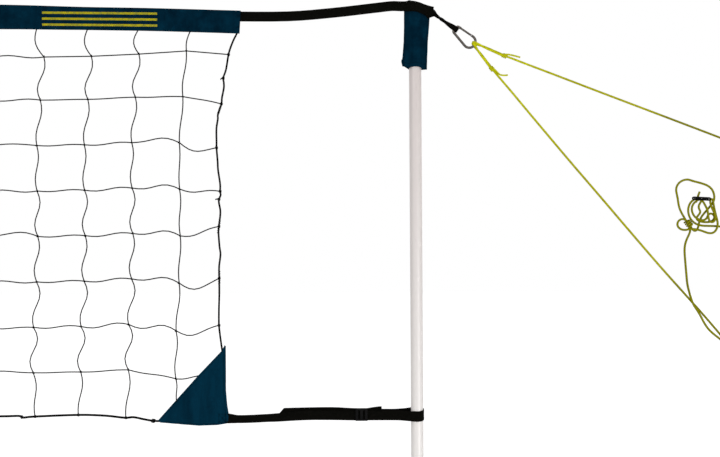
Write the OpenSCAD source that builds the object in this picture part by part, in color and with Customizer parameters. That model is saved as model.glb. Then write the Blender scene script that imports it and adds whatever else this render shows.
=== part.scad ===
// Volleyball net on two telescopic poles, millimetres.
// X runs along the net, Y away from the front, Z up. The origin is the foot of the right pole.

/* [Net] */
// Height of the net's top edge above the ground, at the lowest setting
net_top = 2247; // [2000:5:2430]
// Number of upright twines between the two side cords
column_count = 59; // [9:2:79]
// Width of one mesh
column_pitch = 100; // [80:1:120]
// Number of level twines
row_count = 8; // [3:1:9]
// Height of one mesh as it hangs
row_pitch = 95.7; // [80:0.1:105]
// Distance from the net's top edge down to the first level twine
first_row_drop = 110; // [90:1:140]
// Distance from the last level twine down to the bottom cord
last_row_drop = 88; // [70:1:110]
// Thickness of the net twine
twine_d = 1.6; // [1.2:0.1:3]
// Distance from a pole's axis to the first upright twine
end_gap = 498; // [480:1:560]
// Distance from the first upright twine to the net's side cord
side_mesh = 82; // [70:1:95]
// Thickness of the side cords
side_cord_d = 3.2; // [2.4:0.1:5]
// Thickness of the bottom cord
bottom_cord_d = 3.6; // [2.6:0.1:6]

/* [Top band] */
// Height of the folded band
band_height = 49.5; // [40:1:70]
// Thickness of the band over both cloth layers
band_thickness = 6.8; // [5.6:0.1:9]
// Thickness of the band's cloth
band_cloth = 1; // [0.6:0.1:1.4]
// Distance from the first upright twine to the band's end
band_overhang = 128; // [110:1:140]
// How far the band's end hangs below its middle
band_droop = 17; // [4:1:30]
// Length over which the band's end droops
droop_reach = 580; // [400:10:800]

/* [Straps] */
// Width of the webbing
strap_w = 20; // [16:1:22]
// Thickness of the webbing
strap_t = 1.3; // [0.9:0.1:1.6]
// Length of a top strap sewn inside the band
strap_sewn = 22; // [16:1:40]
// Width of the narrow tail strap at the snap hook
tail_w = 8; // [6:0.5:8]
// Length of the folded-back end of a bottom strap, from the pole's axis
fold_back = 286; // [200:1:320]
// Gap between the two layers of a bottom strap
layer_gap = 2; // [1.8:0.1:2.6]

/* [Pole sleeves] */
// Flat width of a sleeve
sleeve_w = 53; // [46:1:60]
// Length of a sleeve
sleeve_length = 135; // [100:1:200]
// Thickness of the sleeve's cloth
sleeve_cloth = 1.2; // [0.8:0.1:1.6]

/* [Corner patches] */
// Width of a corner patch along the net's bottom
patch_w = 148; // [120:1:170]
// Height of a corner patch along the net's side
patch_h = 165; // [130:1:190]
// Thickness of a corner patch over both layers
patch_t = 6; // [5.4:0.1:8]
// Depth of the pockets where cords and straps are sewn in
patch_pocket = 18; // [10:1:24]

/* [Poles] */
// Outer diameter of the lower tubes
lower_tube_d = 31; // [29.6:0.1:34]
// Wall of the lower tubes
lower_tube_wall = 1.5; // [1:0.1:1.7]
// Length of the lower tubes
lower_tube_length = 1240; // [1100:5:1270]
// Outer diameter of the upper tubes
upper_tube_d = 26; // [22:0.1:27]
// Wall of the upper tubes
upper_tube_wall = 1.2; // [1:0.1:2]
// Length of the upper tubes
upper_tube_length = 1288; // [1235:1:1485]
// How far a pole's tube ends below the net's top edge
pole_below_net = 9; // [0:1:20]
// Length of a guide bush on the foot of an upper tube
bush_length = 30; // [15:1:50]
// Diameter of a foot cap
foot_cap_d = 37; // [36:0.5:44]
// Height of a foot cap
foot_cap_height = 40; // [25:1:60]
// Thickness of a foot cap's floor
foot_cap_floor = 5; // [3:0.5:8]
// Thickness of a pole's top cap
top_cap_t = 3; // [2:0.5:5]
// Depth of a top cap's plug in the tube
top_cap_plug = 15; // [8:1:25]

/* [Clamps] */
// Outer diameter of a clamp collar
collar_d = 40; // [38:1:46]
// Height of a clamp collar
collar_height = 46; // [36:1:60]
// Length of lower tube held in a collar
collar_grip = 26; // [16:1:30]
// Width of a collar's slit
collar_slit = 3; // [2:0.5:4]
// Thickness of a collar's lugs
lug_t = 7.5; // [6:0.5:9]
// Reach of the lugs from the pole's axis
lug_reach = 34; // [32:1:40]
// Height of the lugs
lug_height = 24; // [18:1:30]
// Diameter of a clamp bolt
bolt_d = 5; // [4:0.5:6]
// Diameter of a clamp bolt's nut
nut_d = 10; // [9:0.5:12]
// Thickness of a clamp bolt's nut
nut_t = 4; // [3:0.5:6]
// Diameter of a lever's cross pin
cross_pin_d = 4; // [3:0.5:5]
// Diameter of a lever's cam
cam_d = 13; // [11:0.5:15]
// Height of a lever
lever_height = 16; // [12:1:20]
// Thickness of a lever's arm
lever_arm_t = 5; // [4:0.5:7]
// Angle that a lever's arm wraps round its collar
lever_wrap = 100; // [70:5:120]

/* [Snap hooks] */
// Diameter of the hook's wire
wire_d = 5; // [4:0.1:5.4]
// Straight length of the bar that the strap holds
hook_bar = 8; // [8:0.5:12]
// Bend radius at the bar's ends
hook_corner_r = 4; // [3.5:0.1:6]
// Bend radius of the wide end
hook_end_r = 13; // [11:0.5:16]
// Distance from the bar to the centre of the wide end
hook_reach = 40; // [36:1:50]
// Diameter of the gate
gate_d = 4.4; // [3.8:0.1:5]
// Diameter of the gate's rivet
rivet_d = 1.8; // [1.4:0.1:2]
// Thickness of the gate's tongue
tongue_t = 2; // [1.6:0.1:2.4]

/* [Strap sliders] */
// Length of a slider along its strap
slider_length = 25; // [20:1:34]
// Wall of a slider
slider_wall = 2.5; // [2:0.1:3.5]
// Distance from a pole's axis to its slider
slider_place = 117; // [100:1:160]

/* [Ropes] */
// Thickness of the guy rope
rope_d = 4; // [3:0.5:4.5]
// Diameter of the knots
knot_d = 9; // [8:0.5:12]
// Length of the knots
knot_length = 12; // [8:1:16]
// Width of the wound hank
hank_w = 84; // [70:1:100]
// Height of the wound hank
hank_h = 112; // [95:1:140]
// Thickness of the wound hank
hank_t = 16; // [12:1:24]
// Length of the rope tensioner
tensioner_length = 40; // [34:1:60]
// Height of the rope tensioner
tensioner_height = 8; // [7:0.5:12]
// Thickness of the rope tensioner
tensioner_t = 4; // [3:0.5:6]
// Angle that the rope tensioner leans out of the hank's plane
tensioner_lean = 50; // [0:1:90]
// Inner diameter of the loops at the ropes' far ends
end_loop_d = 22; // [16:1:40]

/* [Fits] */
// Gap round a part that slides or lies loose
loose = 0.3; // [0.2:0.05:0.4]
// Gap round a part that is pushed on and stays
snug = 0.1; // [0.05:0.01:0.15]
// Gap round a rivet or pin that something turns on
running = 0.05; // [0.02:0.01:0.09]

/* [Hidden] */
$fn = 48;

navy = [0.02, 0.15, 0.24];
black = [0.06, 0.05, 0.04];
twine_black = [0.1, 0.1, 0.1];
pole_grey = [0.85, 0.83, 0.81];
plastic_black = [0.08, 0.08, 0.09];
steel = [0.5, 0.48, 0.46];
rope_olive = [0.6, 0.62, 0.18];

// Lengths along the net
pole_spacing = 2 * end_gap + (column_count - 1) * column_pitch;
band_end = -(end_gap - band_overhang);
side_line = -(end_gap - side_mesh);

// Heights
pole_top = net_top - pole_below_net;
upper_tube_foot = pole_top - upper_tube_length;
first_row = net_top - first_row_drop;
last_row = first_row - (row_count - 1) * row_pitch;
bottom_cord_z = last_row - last_row_drop;
top_strap_z = net_top - 29;
bottom_strap_z = bottom_cord_z - 0.6;
patch_foot = bottom_cord_z - 22;
patch_top = patch_foot + patch_h;
sleeve_top = pole_top + top_cap_t + loose + sleeve_cloth;

// Corner patch: its right edge, and its tip on the bottom cord
patch_edge = side_line + 19;
patch_tip = patch_edge - patch_w;
patch_tip_z = patch_foot + 10;

// The patch's sloping edge starts this far above its tip, and ends this far inside its right edge
patch_shoulder = 8;
patch_peak = 12;
patch_slope = (patch_top - patch_tip_z - patch_shoulder) / (patch_w - patch_peak);

// The side cord's path: distance from the net's side line towards the pole, and drop below the band
side_cord_path = [
    [42, 0.4], [33, 17], [24, 41], [18, 75], [10, 94], [12, 116], [8, 147], [0, 172], [-3, 229],
    [-1, 268], [4, 316], [1, 348], [3, 382], [1, 406], [2, 448], [4, 465], [1, 513], [1, 548]
];

// Sleeve and pole
sleeve_r = upper_tube_d / 2 + loose + sleeve_cloth;
sleeve_front = sleeve_r + loose + strap_t / 2;
sleeve_half = sleeve_w / 2;
sleeve_slope = acos(sleeve_r / sleeve_half);

// Clamp, measured from the pole's axis and the lower tube's top
collar_foot = lower_tube_length - collar_grip;
lug_z = collar_foot + collar_height / 2;
lug_face = collar_slit / 2 + lug_t;
bolt_x = lug_reach - bolt_d / 2 - 4.5;
cam_y = -(lug_face + loose + cam_d / 2);
lever_r = collar_d / 2 + 1;

// Bottom strap: distance of each layer from the net's plane. Its loop goes round the upper tube,
// or round the clamp or the lower tube where that stands at the strap's height
layer_y = layer_gap / 2 + strap_t / 2;
strap_low = bottom_strap_z - strap_w / 2 - loose;
strap_high = bottom_strap_z + strap_w / 2 + loose;
strap_core_r = strap_low > collar_foot + collar_height ? upper_tube_d / 2
    : strap_high > collar_foot ? norm([bolt_x, cam_y]) + cam_d / 2
    : lower_tube_d / 2;
strap_loop_r = strap_core_r + loose + strap_t / 2;
strap_merge = max(48, 1.25 * strap_loop_r);

// Snap hook, drawn with its bar at the origin and its wide end along +X
corner_y = hook_bar / 2;
side_run = norm([hook_reach - hook_corner_r, corner_y]);
side_slope = asin((hook_end_r - hook_corner_r) / side_run) - atan(corner_y / (hook_reach - hook_corner_r));
side_normal = 90 + side_slope;
side_start = [hook_corner_r, corner_y] + hook_corner_r * [cos(side_normal), sin(side_normal)];
side_end = [hook_reach, 0] + hook_end_r * [cos(side_normal), sin(side_normal)];
side_length = norm(side_end - side_start);
hinge_stub = 6;
rivet_place = 3.8;
gate_start = hinge_stub + 1.2;
nose_stub = 3.5;
gate_end = side_length - nose_stub - 0.4;
slot_t = tongue_t + 2 * loose;
eye_r = wire_d / 2 + loose + strap_t / 2;

// End of a top strap, past the sleeve's outer edge
strap_end = [sleeve_half + 8, -2, top_strap_z + 6];

// Where the hooks hang: the bar's distance outside the pole's axis, its height and the way it points down
hook_right = [strap_end.x + 50.4, strap_end.z - 34.7, 42.5];
hook_left = [strap_end.x + 25.5, strap_end.z - 57, 90];

// The tail straps' middle lines, measured from the top strap's end towards the hook's bar
tail_path_right = [[0.3, 0.1, -0.1], [6, 2.3, -1.4], [12, 2, -4.7], [19, 2, -10.1], [28.4, 2, -16.6], [38.9, 2, -25.2]];
tail_path_left = [[0.3, 0.1, -0.1], [6, 2.3, -1.4], [12, 2, -5.2], [18, 2, -12], [23, 2, -22.4], [25.5, 2, -37]];

// Ropes, as points measured from just outside the wide end of the right hook
hook_aim = [cos(hook_right[2]), 0, -sin(hook_right[2])];
rope_start = [hook_right[0] + 1.1, 0, hook_right[1] + 1.2] + (hook_reach + hook_end_r) * hook_aim;
back_rope_path = [
    [70, 7, -24], [80, 8, -27.5], [119, 13, -41.8], [171, 18, -60.9], [248, 26, -89.3],
    [330, 35, -119.3], [429, 45, -155.5], [533, 56, -193.7], [571, 60, -208]
];
front_rope_path = [
    [40, -4, -55], [48, -5, -65], [76, -8, -99], [113, -12, -145], [151, -17, -192], [193, -21, -243.5],
    [257, -29, -321], [317, -36, -394], [377, -42, -466], [432, -49, -530], [469, -53, -573], [530, -60, -647]
];
slack_run_path = [
    [505, 15, -376], [523, 25, -385], [534, 34, -387], [545, 43, -383], [554, 50, -374],
    [561, 54, -358], [566, 57, -335], [570, 60, -305], [573, 62, -275], [574, 63, -245],
    [573, 62, -222], [571, 60, -208]
];
slack_tail_path = [
    [457, 13, -393], [455, 13, -400], [452, 12, -406], [446, 10, -415], [442, 6, -427], [440, 0, -440],
    [439, -9, -460], [438, -19, -482], [437, -30, -503], [437, -41, -517], [438, -51, -530],
    [442, -55, -544], [449, -57, -556], [456, -58, -568], [462, -58, -580], [471, -58, -594],
    [483, -58, -606], [497, -58, -617], [514, -59, -632], [530, -60, -647]
];
hank_place = [470, 12, -342];
tensioner_depth = tensioner_height * sin(tensioner_lean) + tensioner_t * cos(tensioner_lean);
tensioner_place = [476, hank_place.y - hank_t / 2 - tensioner_depth / 2 - loose, -326];
// Directions, in the XZ plane, from the hook's wide end to the two places where the ropes' eyes hold it
eye_angle_back = -25.5;
eye_angle_front = -59.5;

function unit(v) = v / norm(v);
function band_drop(d) = d >= end_gap - band_overhang + droop_reach ? 0
    : band_droop * pow((end_gap - band_overhang + droop_reach - d) / droop_reach, 1.25);
function band_top_at(x) = net_top - band_drop(min(-x, pole_spacing + x));
function band_foot_at(x) = band_top_at(x) - band_height;
function side_cord_x(z) = side_line
    + lookup(band_foot_at(band_end) - z, [for (p = side_cord_path) [p[1], p[0]]]);
// Height of a patch's sloping edge, and of the bottom cord, at a place x near the right end
function patch_slope_z(x) = patch_tip_z + patch_shoulder + patch_slope * (x - patch_tip);
function patch_slope_x(z) = patch_tip + (z - patch_tip_z - patch_shoulder) / patch_slope;
function bottom_cord_path() = [
    [patch_tip - 100, 0, bottom_cord_z],
    [patch_tip - 50, 0, (bottom_cord_z + patch_tip_z) / 2 + 1],
    [patch_tip - 8, 0, patch_tip_z],
    [patch_tip + patch_pocket - loose, 0, patch_tip_z]
];
function bottom_cord_at(x) = lookup(x, [for (p = bottom_cord_path()) [p.x, p.z]]);
function tangent(points, i) =
    i == 0 ? unit(points[1] - points[0])
    : i == len(points) - 1 ? unit(points[i] - points[i - 1])
    : unit(unit(points[i + 1] - points[i]) + unit(points[i] - points[i - 1]));
function along(points, f) =
    let (i = min(floor(f * (len(points) - 1)), len(points) - 2))
    points[i] + (f * (len(points) - 1) - i) * (points[i + 1] - points[i]);
function from_rope_start(points) = [for (p = points) p + rope_start];
function arc_points(r, a0, a1, steps) = [for (i = [0:steps]) r * [cos(a0 + (a1 - a0) * i / steps), sin(a0 + (a1 - a0) * i / steps)]];

// Mirrors a piece of the right end to the left end of the net
module left_end() {
    translate([-pole_spacing, 0, 0]) mirror([1, 0, 0]) children();
}

// Round bar between two points
module rod(p, q, d) {
    run = q - p;
    translate(p) rotate([0, acos(run.z / norm(run)), atan2(run.y, run.x)]) cylinder(h = norm(run), d = d);
}

// Cord swept along its points; "side" is a direction that the cord never runs along
module cord(points, d, side = [0, 1, 0], sides = 8) {
    rings = [
        for (i = [0:len(points) - 1])
            let (t = tangent(points, i), a = unit(cross(t, side)), b = cross(t, a))
            for (k = [0:sides - 1]) points[i] + d / 2 * (cos(360 * k / sides) * a + sin(360 * k / sides) * b)
    ];
    last = (len(points) - 1) * sides;
    polyhedron(rings, concat(
        [[for (k = [0:sides - 1]) k]],
        [[for (k = [sides - 1:-1:0]) last + k]],
        [for (i = [0:sides:last - sides]) for (k = [0:sides - 1]) each
            let (next = (k + 1) % sides)
            [[i + sides + k, i + sides + next, i + next], [i + sides + k, i + next, i + k]]]
    ));
}

// Flat webbing swept along stations of [point, direction across the webbing, width]
module webbing(stations, t) {
    points = [for (s = stations) s[0]];
    corners = [
        for (i = [0:len(stations) - 1])
            let (
                along = tangent(points, i),
                across = unit(stations[i][1] - (stations[i][1] * along) * along) * stations[i][2] / 2,
                out = unit(cross(along, across)) * t / 2
            )
            each [points[i] + across + out, points[i] - across + out, points[i] - across - out, points[i] + across - out]
    ];
    last = 4 * (len(stations) - 1);
    polyhedron(corners, concat(
        [[0, 1, 2, 3]],
        [[last + 3, last + 2, last + 1, last]],
        [for (i = [0:4:last - 4]) for (k = [0:3]) each
            let (next = (k + 1) % 4) [[i + 4 + k, i + 4 + next, i + next], [i + 4 + k, i + next, i + k]]]
    ));
}

// Outline of a strip that follows a flat path, as thick as the webbing
function strip_side(path, i) =
    let (t = tangent(path, i)) [-t.y, t.x] * strap_t / 2;
function strip_outline(path) = concat(
    [for (i = [0:len(path) - 1]) path[i] + strip_side(path, i)],
    [for (i = [len(path) - 1:-1:0]) path[i] - strip_side(path, i)]
);

// Tube that stands on z = 0
module tube(length, d, wall) {
    difference() {
        cylinder(h = length, d = d);
        translate([0, 0, -1]) cylinder(h = length + 2, d = d - 2 * wall);
    }
}

// Poles
module lower_tube() {
    color(pole_grey) translate([0, 0, foot_cap_floor])
        tube(lower_tube_length - foot_cap_floor, lower_tube_d, lower_tube_wall);
}

module foot_cap() {
    color(plastic_black) difference() {
        cylinder(h = foot_cap_height, d = foot_cap_d);
        translate([0, 0, foot_cap_floor]) cylinder(h = foot_cap_height, d = lower_tube_d + 2 * snug);
    }
}

module upper_tube() {
    color(pole_grey) translate([0, 0, upper_tube_foot]) tube(upper_tube_length, upper_tube_d, upper_tube_wall);
}

module guide_bush() {
    bush_d = lower_tube_d - 2 * lower_tube_wall - 2 * loose;
    color(plastic_black) translate([0, 0, upper_tube_foot])
        tube(bush_length, bush_d, (bush_d - upper_tube_d) / 2 - snug);
}

module top_cap() {
    color(plastic_black) translate([0, 0, pole_top]) {
        cylinder(h = top_cap_t, d = upper_tube_d);
        translate([0, 0, -top_cap_plug])
            cylinder(h = top_cap_plug + 1, d = upper_tube_d - 2 * upper_tube_wall - 2 * snug);
    }
}

// Clamp that locks the height
module clamp_collar() {
    color(plastic_black) translate([0, 0, collar_foot]) difference() {
        union() {
            cylinder(h = collar_height, d = collar_d);
            translate([0, -lug_face, (collar_height - lug_height) / 2]) cube([lug_reach, 2 * lug_face, lug_height]);
        }
        translate([0, 0, -1]) cylinder(h = collar_height + 2, d = upper_tube_d + 2 * loose);
        translate([0, 0, -1]) cylinder(h = collar_grip + 1, d = lower_tube_d + 2 * snug);
        translate([0, -collar_slit / 2, -1]) cube([lug_reach + 1, collar_slit, collar_height + 2]);
        translate([bolt_x, 0, collar_height / 2]) rotate([90, 0, 0])
            cylinder(h = 4 * lug_face, d = bolt_d + 2 * snug, center = true);
    }
}

module clamp_bolt() {
    color(steel) translate([bolt_x, 0, lug_z]) {
        translate([0, cam_y, 0]) rotate([-90, 0, 0]) cylinder(h = lug_face + snug + nut_t - cam_y, d = bolt_d);
        translate([0, lug_face + snug, 0]) rotate([-90, 0, 0]) cylinder(h = nut_t, d = nut_d, $fn = 6);
        translate([0, cam_y, -lever_height / 2]) cylinder(h = lever_height, d = cross_pin_d);
    }
}

module clamp_lever() {
    cam_angle = atan2(cam_y, bolt_x);
    color(plastic_black) translate([0, 0, lug_z]) difference() {
        translate([0, 0, -lever_height / 2]) linear_extrude(lever_height) union() {
            translate([bolt_x, cam_y]) circle(d = cam_d);
            polygon([
                [bolt_x, cam_y - cam_d / 2],
                [bolt_x - cam_d / 2, cam_y],
                lever_r * [cos(cam_angle - 18), sin(cam_angle - 18)],
                (lever_r + lever_arm_t) * [cos(cam_angle - 22), sin(cam_angle - 22)]
            ]);
            polygon(concat(
                arc_points(lever_r, cam_angle - 18, cam_angle - 18 - lever_wrap, 12),
                arc_points(lever_r + lever_arm_t, cam_angle - 18 - lever_wrap, cam_angle - 18, 12)
            ));
        }
        translate([bolt_x, cam_y, -lever_height]) cylinder(h = 2 * lever_height, d = cross_pin_d + 2 * running);
        translate([bolt_x, cam_y, -bolt_d / 2 - loose])
            rotate_extrude() square([cam_d / 2 + 0.6, bolt_d + 2 * loose]);
    }
}

// Cloth sleeve over the pole's top
module sleeve_section(r, half) {
    a = acos(r / half);
    polygon(concat([[half, 0]], arc_points(r, a, 180 - a, 16), [[-half, 0]], arc_points(r, 180 + a, 360 - a, 16)));
}

module pole_sleeve() {
    color(navy) translate([0, 0, sleeve_top - sleeve_length]) difference() {
        linear_extrude(sleeve_length) sleeve_section(sleeve_r, sleeve_half);
        translate([0, 0, -1]) linear_extrude(sleeve_length + 1 - sleeve_cloth)
            sleeve_section(sleeve_r - sleeve_cloth, sleeve_half - 2 * sleeve_cloth);
    }
}

// Webbing from inside the band's end to the front of the sleeve
module top_strap() {
    out = sleeve_half + 5;
    lean = [cos(sleeve_slope), sin(sleeve_slope)];
    bend = (sleeve_front + 0.1) * lean;
    path = [
        [band_end - strap_sewn, 0, top_strap_z],
        [band_end + 30, 0, top_strap_z],
        [-250, 0, top_strap_z],
        [-136, -0.5, top_strap_z + 10],
        [-60, -1.2, top_strap_z + 18],
        [-out, -2, top_strap_z + 19],
        [-bend.x, -bend.y, top_strap_z + 17],
        [-bend.x / 2, -sleeve_front - 0.4, top_strap_z + 16],
        [bend.x / 2, -sleeve_front - 0.4, top_strap_z + 14],
        [bend.x, -bend.y, top_strap_z + 12],
        strap_end
    ];
    color(black) webbing([for (p = path) [p, [0, 0, 1], strap_w]], strap_t);
}

// Narrow doubled webbing from the top strap's end, turned over once, to its loop round the hook's bar
module tail_strap(path, hook) {
    steps = 12;
    aim = [cos(hook[2]), 0, -sin(hook[2])];
    rise = [sin(hook[2]), 0, cos(hook[2])];
    bar = [hook[0], 0, hook[1]];
    middle = concat(
        [for (i = [0:steps]) strap_end + along(path, i / steps)],
        [bar - (eye_r + 5) * aim]
    );
    layer = strap_t / 2 + loose / 4;
    color(black) {
        webbing([
            for (i = [0:steps + 1])
                let (t = tangent(middle, i), flat = unit([-t.z, 0, t.x]), turn = min(180, 180 * i / steps))
                [middle[i], cos(turn) * flat + sin(turn) * [0, 1, 0], tail_w]
        ], 2 * strap_t);
        webbing(concat(
            [[bar - (eye_r + 5 - snug) * aim + layer * [0, 1, 0], rise, tail_w]],
            [for (a = [110:-20:-110]) [bar + eye_r * (cos(a) * aim + sin(a) * [0, 1, 0]), rise, tail_w]],
            [[bar - (eye_r + 5 - snug) * aim - layer * [0, 1, 0], rise, tail_w]]
        ), strap_t);
    }
}

// Snap hook of bent wire
function bend_points(centre, r, a0, a1, steps) =
    [for (i = [0:steps]) [centre.x, centre.y, 0] + r * [cos(a0 + (a1 - a0) * i / steps), sin(a0 + (a1 - a0) * i / steps), 0]];

module hook_body() {
    run = (side_end - side_start) / side_length;
    nose = side_end - nose_stub * run;
    stub = side_start + hinge_stub * run;
    wire = concat(
        [[nose.x, nose.y, 0]],
        bend_points([hook_reach, 0], hook_end_r, side_normal, -side_normal, 14),
        bend_points([hook_corner_r, -corner_y], hook_corner_r, 360 - side_normal, 180, 5),
        bend_points([hook_corner_r, corner_y], hook_corner_r, 180, side_normal, 5),
        [[stub.x, stub.y, 0]]
    );
    color(steel) rotate([90, 0, 0]) difference() {
        cord(wire, wire_d, [0, 0, 1], 12);
        translate(side_start) rotate([0, 0, side_slope]) {
            translate([rivet_place - 2.4, -wire_d, -slot_t / 2]) cube([wire_d + 3, 2 * wire_d, slot_t]);
            translate([rivet_place, 0, -wire_d]) cylinder(h = 2 * wire_d, d = rivet_d + 0.04);
        }
    }
}

module hook_gate() {
    color(steel) rotate([90, 0, 0]) translate(side_start) rotate([0, 0, side_slope]) difference() {
        union() {
            translate([gate_start, 0, 0]) rotate([0, 90, 0]) cylinder(h = gate_end - gate_start, d = gate_d);
            translate([rivet_place, -1.6, -tongue_t / 2]) cube([gate_start - rivet_place + 0.5, 3.2, tongue_t]);
            translate([rivet_place, 0, -tongue_t / 2]) cylinder(h = tongue_t, d = 3.2);
        }
        translate([rivet_place, 0, -tongue_t]) cylinder(h = 2 * tongue_t, d = rivet_d + 2 * running);
        translate([gate_end - 10, 0, 0]) rotate([0, 90, 0]) cylinder(h = 11, d = gate_d - 1.6);
    }
}

module hook_rivet() {
    color(steel) rotate([90, 0, 0]) translate(side_start) rotate([0, 0, side_slope]) translate([rivet_place, 0, 0]) {
        cylinder(h = wire_d + 0.2, d = rivet_d, center = true);
        for (s = [-1, 1]) translate([0, 0, s * (wire_d / 2 + 0.4)]) cylinder(h = 0.6, d = rivet_d + 1, center = true);
    }
}

module gate_spring() {
    color(steel) rotate([90, 0, 0]) translate(side_start) rotate([0, 0, side_slope])
        translate([gate_end - 9.8, 0, 0]) rotate([0, 90, 0]) tube(9, gate_d - 1.6 - 2 * snug, 0.5);
}

module at_hook(hook) {
    translate([hook[0], 0, hook[1]]) rotate([0, hook[2], 0]) children();
}

// Corner patch of two cloth layers, with pockets where the cords and the strap are sewn in
module corner_patch() {
    color(navy) difference() {
        rotate([90, 0, 0]) linear_extrude(patch_t, center = true) polygon([
            [patch_edge, patch_foot],
            [patch_edge, patch_foot + 30],
            [patch_edge - 6, patch_top],
            [patch_edge - patch_peak, patch_top],
            [patch_tip, patch_tip_z + patch_shoulder],
            [patch_tip, patch_tip_z - 6],
            [patch_tip + 30, patch_foot]
        ]);
        translate([patch_edge - patch_pocket, -strap_t / 2 - loose - layer_y, bottom_strap_z - strap_w / 2 - loose])
            cube([patch_pocket + 1, strap_t + 2 * loose, strap_w + 2 * loose]);
        translate([patch_tip - 1, 0, patch_tip_z]) rotate([0, 90, 0])
            cylinder(h = patch_pocket + 1, d = bottom_cord_d + 2 * snug);
    }
}

// Webbing from the patch, round the pole and back through the slider
module bottom_strap() {
    swing = acos(strap_loop_r / strap_merge) * 0.98;
    path = concat(
        [[patch_edge - patch_pocket + loose, -layer_y], [-strap_merge, -layer_y]],
        arc_points(strap_loop_r, 180 + swing, 540 - swing, 20),
        [[-strap_merge, layer_y], [-fold_back, layer_y]]
    );
    color(black) translate([0, 0, bottom_strap_z - strap_w / 2]) linear_extrude(strap_w) polygon(strip_outline(path));
}

module strap_slider() {
    inner = layer_gap + 2 * strap_t + 2 * loose;
    color(plastic_black) translate([-slider_place, 0, bottom_strap_z]) {
        difference() {
            cube([slider_length, inner + 2 * slider_wall, strap_w + 2 * loose + 2 * slider_wall], center = true);
            cube([slider_length + 2, inner, strap_w + 2 * loose], center = true);
            for (s = [-1, 1]) translate([s * slider_length / 5, -inner / 2 - slider_wall / 2, 0])
                cube([slider_length / 6, slider_wall + 1, strap_w - 1], center = true);
        }
        cube([slider_length / 3, layer_gap - 2 * loose, strap_w + 2 * loose + slider_wall], center = true);
    }
}

module side_cord() {
    foot = band_foot_at(band_end);
    points = concat(
        [for (p = side_cord_path) if (foot - p[1] > patch_top + 12) [side_line + p[0], 0, foot - p[1]]],
        [[patch_edge - 9, 0, patch_top + 0.3]]
    );
    color(twine_black) cord(points, side_cord_d);
}

// Net
band_stations = [for (f = [0, 0.14, 0.28, 0.45, 0.65, 1]) band_end - f * droop_reach];

module band_outline(inset, low) {
    xs = concat(
        [for (i = [len(band_stations) - 1:-1:0]) -pole_spacing - band_stations[len(band_stations) - 1 - i]],
        [for (i = [len(band_stations) - 1:-1:0]) band_stations[i]]
    );
    polygon(concat(
        [for (x = xs) [x, band_top_at(x) - inset]],
        [for (i = [len(xs) - 1:-1:0]) [xs[i], band_foot_at(xs[i]) - low]]
    ));
}

// Cloth folded over the top of the net, open below and at both ends
module top_band() {
    color(navy) difference() {
        rotate([90, 0, 0]) linear_extrude(band_thickness, center = true) band_outline(0, 0);
        rotate([90, 0, 0]) linear_extrude(band_thickness - 2 * band_cloth, center = true) band_outline(band_cloth, 2);
    }
}

// Webbing that runs inside the band from strap to strap and carries the pull
module head_webbing() {
    color(black) rotate([90, 0, 0]) linear_extrude(strap_t, center = true) {
        xs = [for (s = band_stations) s - (s == band_end ? strap_sewn + loose : 0)];
        all_x = concat([for (x = xs) -pole_spacing - x], [for (i = [len(xs) - 1:-1:0]) xs[i]]);
        polygon(concat(
            [for (x = all_x) [x, band_top_at(x) - 2]],
            [for (i = [len(all_x) - 1:-1:0]) [all_x[i], band_top_at(all_x[i]) - 2 - strap_w]]
        ));
    }
}

// Upright twines lie against the front of the level ones
module net_uprights() {
    color(twine_black) for (i = [0:column_count - 1]) {
        x = -end_gap - i * column_pitch;
        near = -min(-x, pole_spacing + x);
        foot = near > patch_tip
            ? patch_slope_z(near + twine_d / 2) + loose
            : bottom_cord_at(near) + bottom_cord_d / 2 + loose;
        head = band_foot_at(x) + 10;
        translate([x - twine_d / 2, -twine_d, foot]) cube([twine_d, twine_d, head - foot]);
    }
}

module net_levels() {
    color(twine_black) for (i = [0:row_count - 1]) {
        z = first_row - i * row_pitch;
        side = z - twine_d / 2 < patch_top
            ? patch_slope_x(z - twine_d / 2) - loose
            : side_cord_x(z) - side_cord_d / 2 - loose;
        translate([-pole_spacing - side, 0, z - twine_d / 2]) cube([pole_spacing + 2 * side, twine_d, twine_d]);
    }
}

module bottom_cord() {
    half = bottom_cord_path();
    color(twine_black) cord(concat(
        [for (i = [len(half) - 1:-1:0]) [-pole_spacing - half[i].x, 0, half[i].z]],
        half
    ), bottom_cord_d);
}

// Ropes
module rope_eye(angle, path) {
    hook = hook_right;
    aim = [cos(hook[2]), 0, -sin(hook[2])];
    wire = [hook[0], 0, hook[1]] + hook_reach * aim + hook_end_r * [cos(angle), 0, sin(angle)];
    points = from_rope_start([path[0], path[1]]);
    away = unit(points[1] - points[0]);
    knot = points[0] - knot_length * away;
    d = unit(knot - wire);
    r = wire_d / 2 + loose + rope_d / 2;
    reach = norm(knot - wire);
    strand = [[reach - 0.1, rope_d / 2 + 0.3], [0.6 * reach, rope_d / 2 + 0.7], [0.25 * reach, r - 0.6]];
    across = unit([0, 1, 0] - d.y * d);
    color(rope_olive) {
        cord(concat(
            [for (s = strand) wire + s[0] * d + s[1] * across],
            [for (a = [90:-30:-90]) wire - r * cos(a) * d + r * sin(a) * across],
            [for (i = [2:-1:0]) wire + strand[i][0] * d - strand[i][1] * across]
        ), rope_d, cross(d, across));
        rod(knot, points[0], knot_d);
    }
}

module guy_rope(path) {
    color(rope_olive) cord(from_rope_start(path), rope_d);
}

// Knot and loop at a rope's far end
module rope_end(path) {
    points = from_rope_start(path);
    last = points[len(points) - 1];
    away = unit(last - points[len(points) - 2]);
    color(rope_olive) {
        rod(last, last + knot_length * away, knot_d);
        translate(last + (knot_length + end_loop_d / 2) * away)
            rotate([0, -asin(away.z), atan2(away.y, away.x)]) rotate([90, 0, 0])
            rotate_extrude() translate([end_loop_d / 2 + rope_d / 2, 0]) circle(d = rope_d);
    }
}

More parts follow.
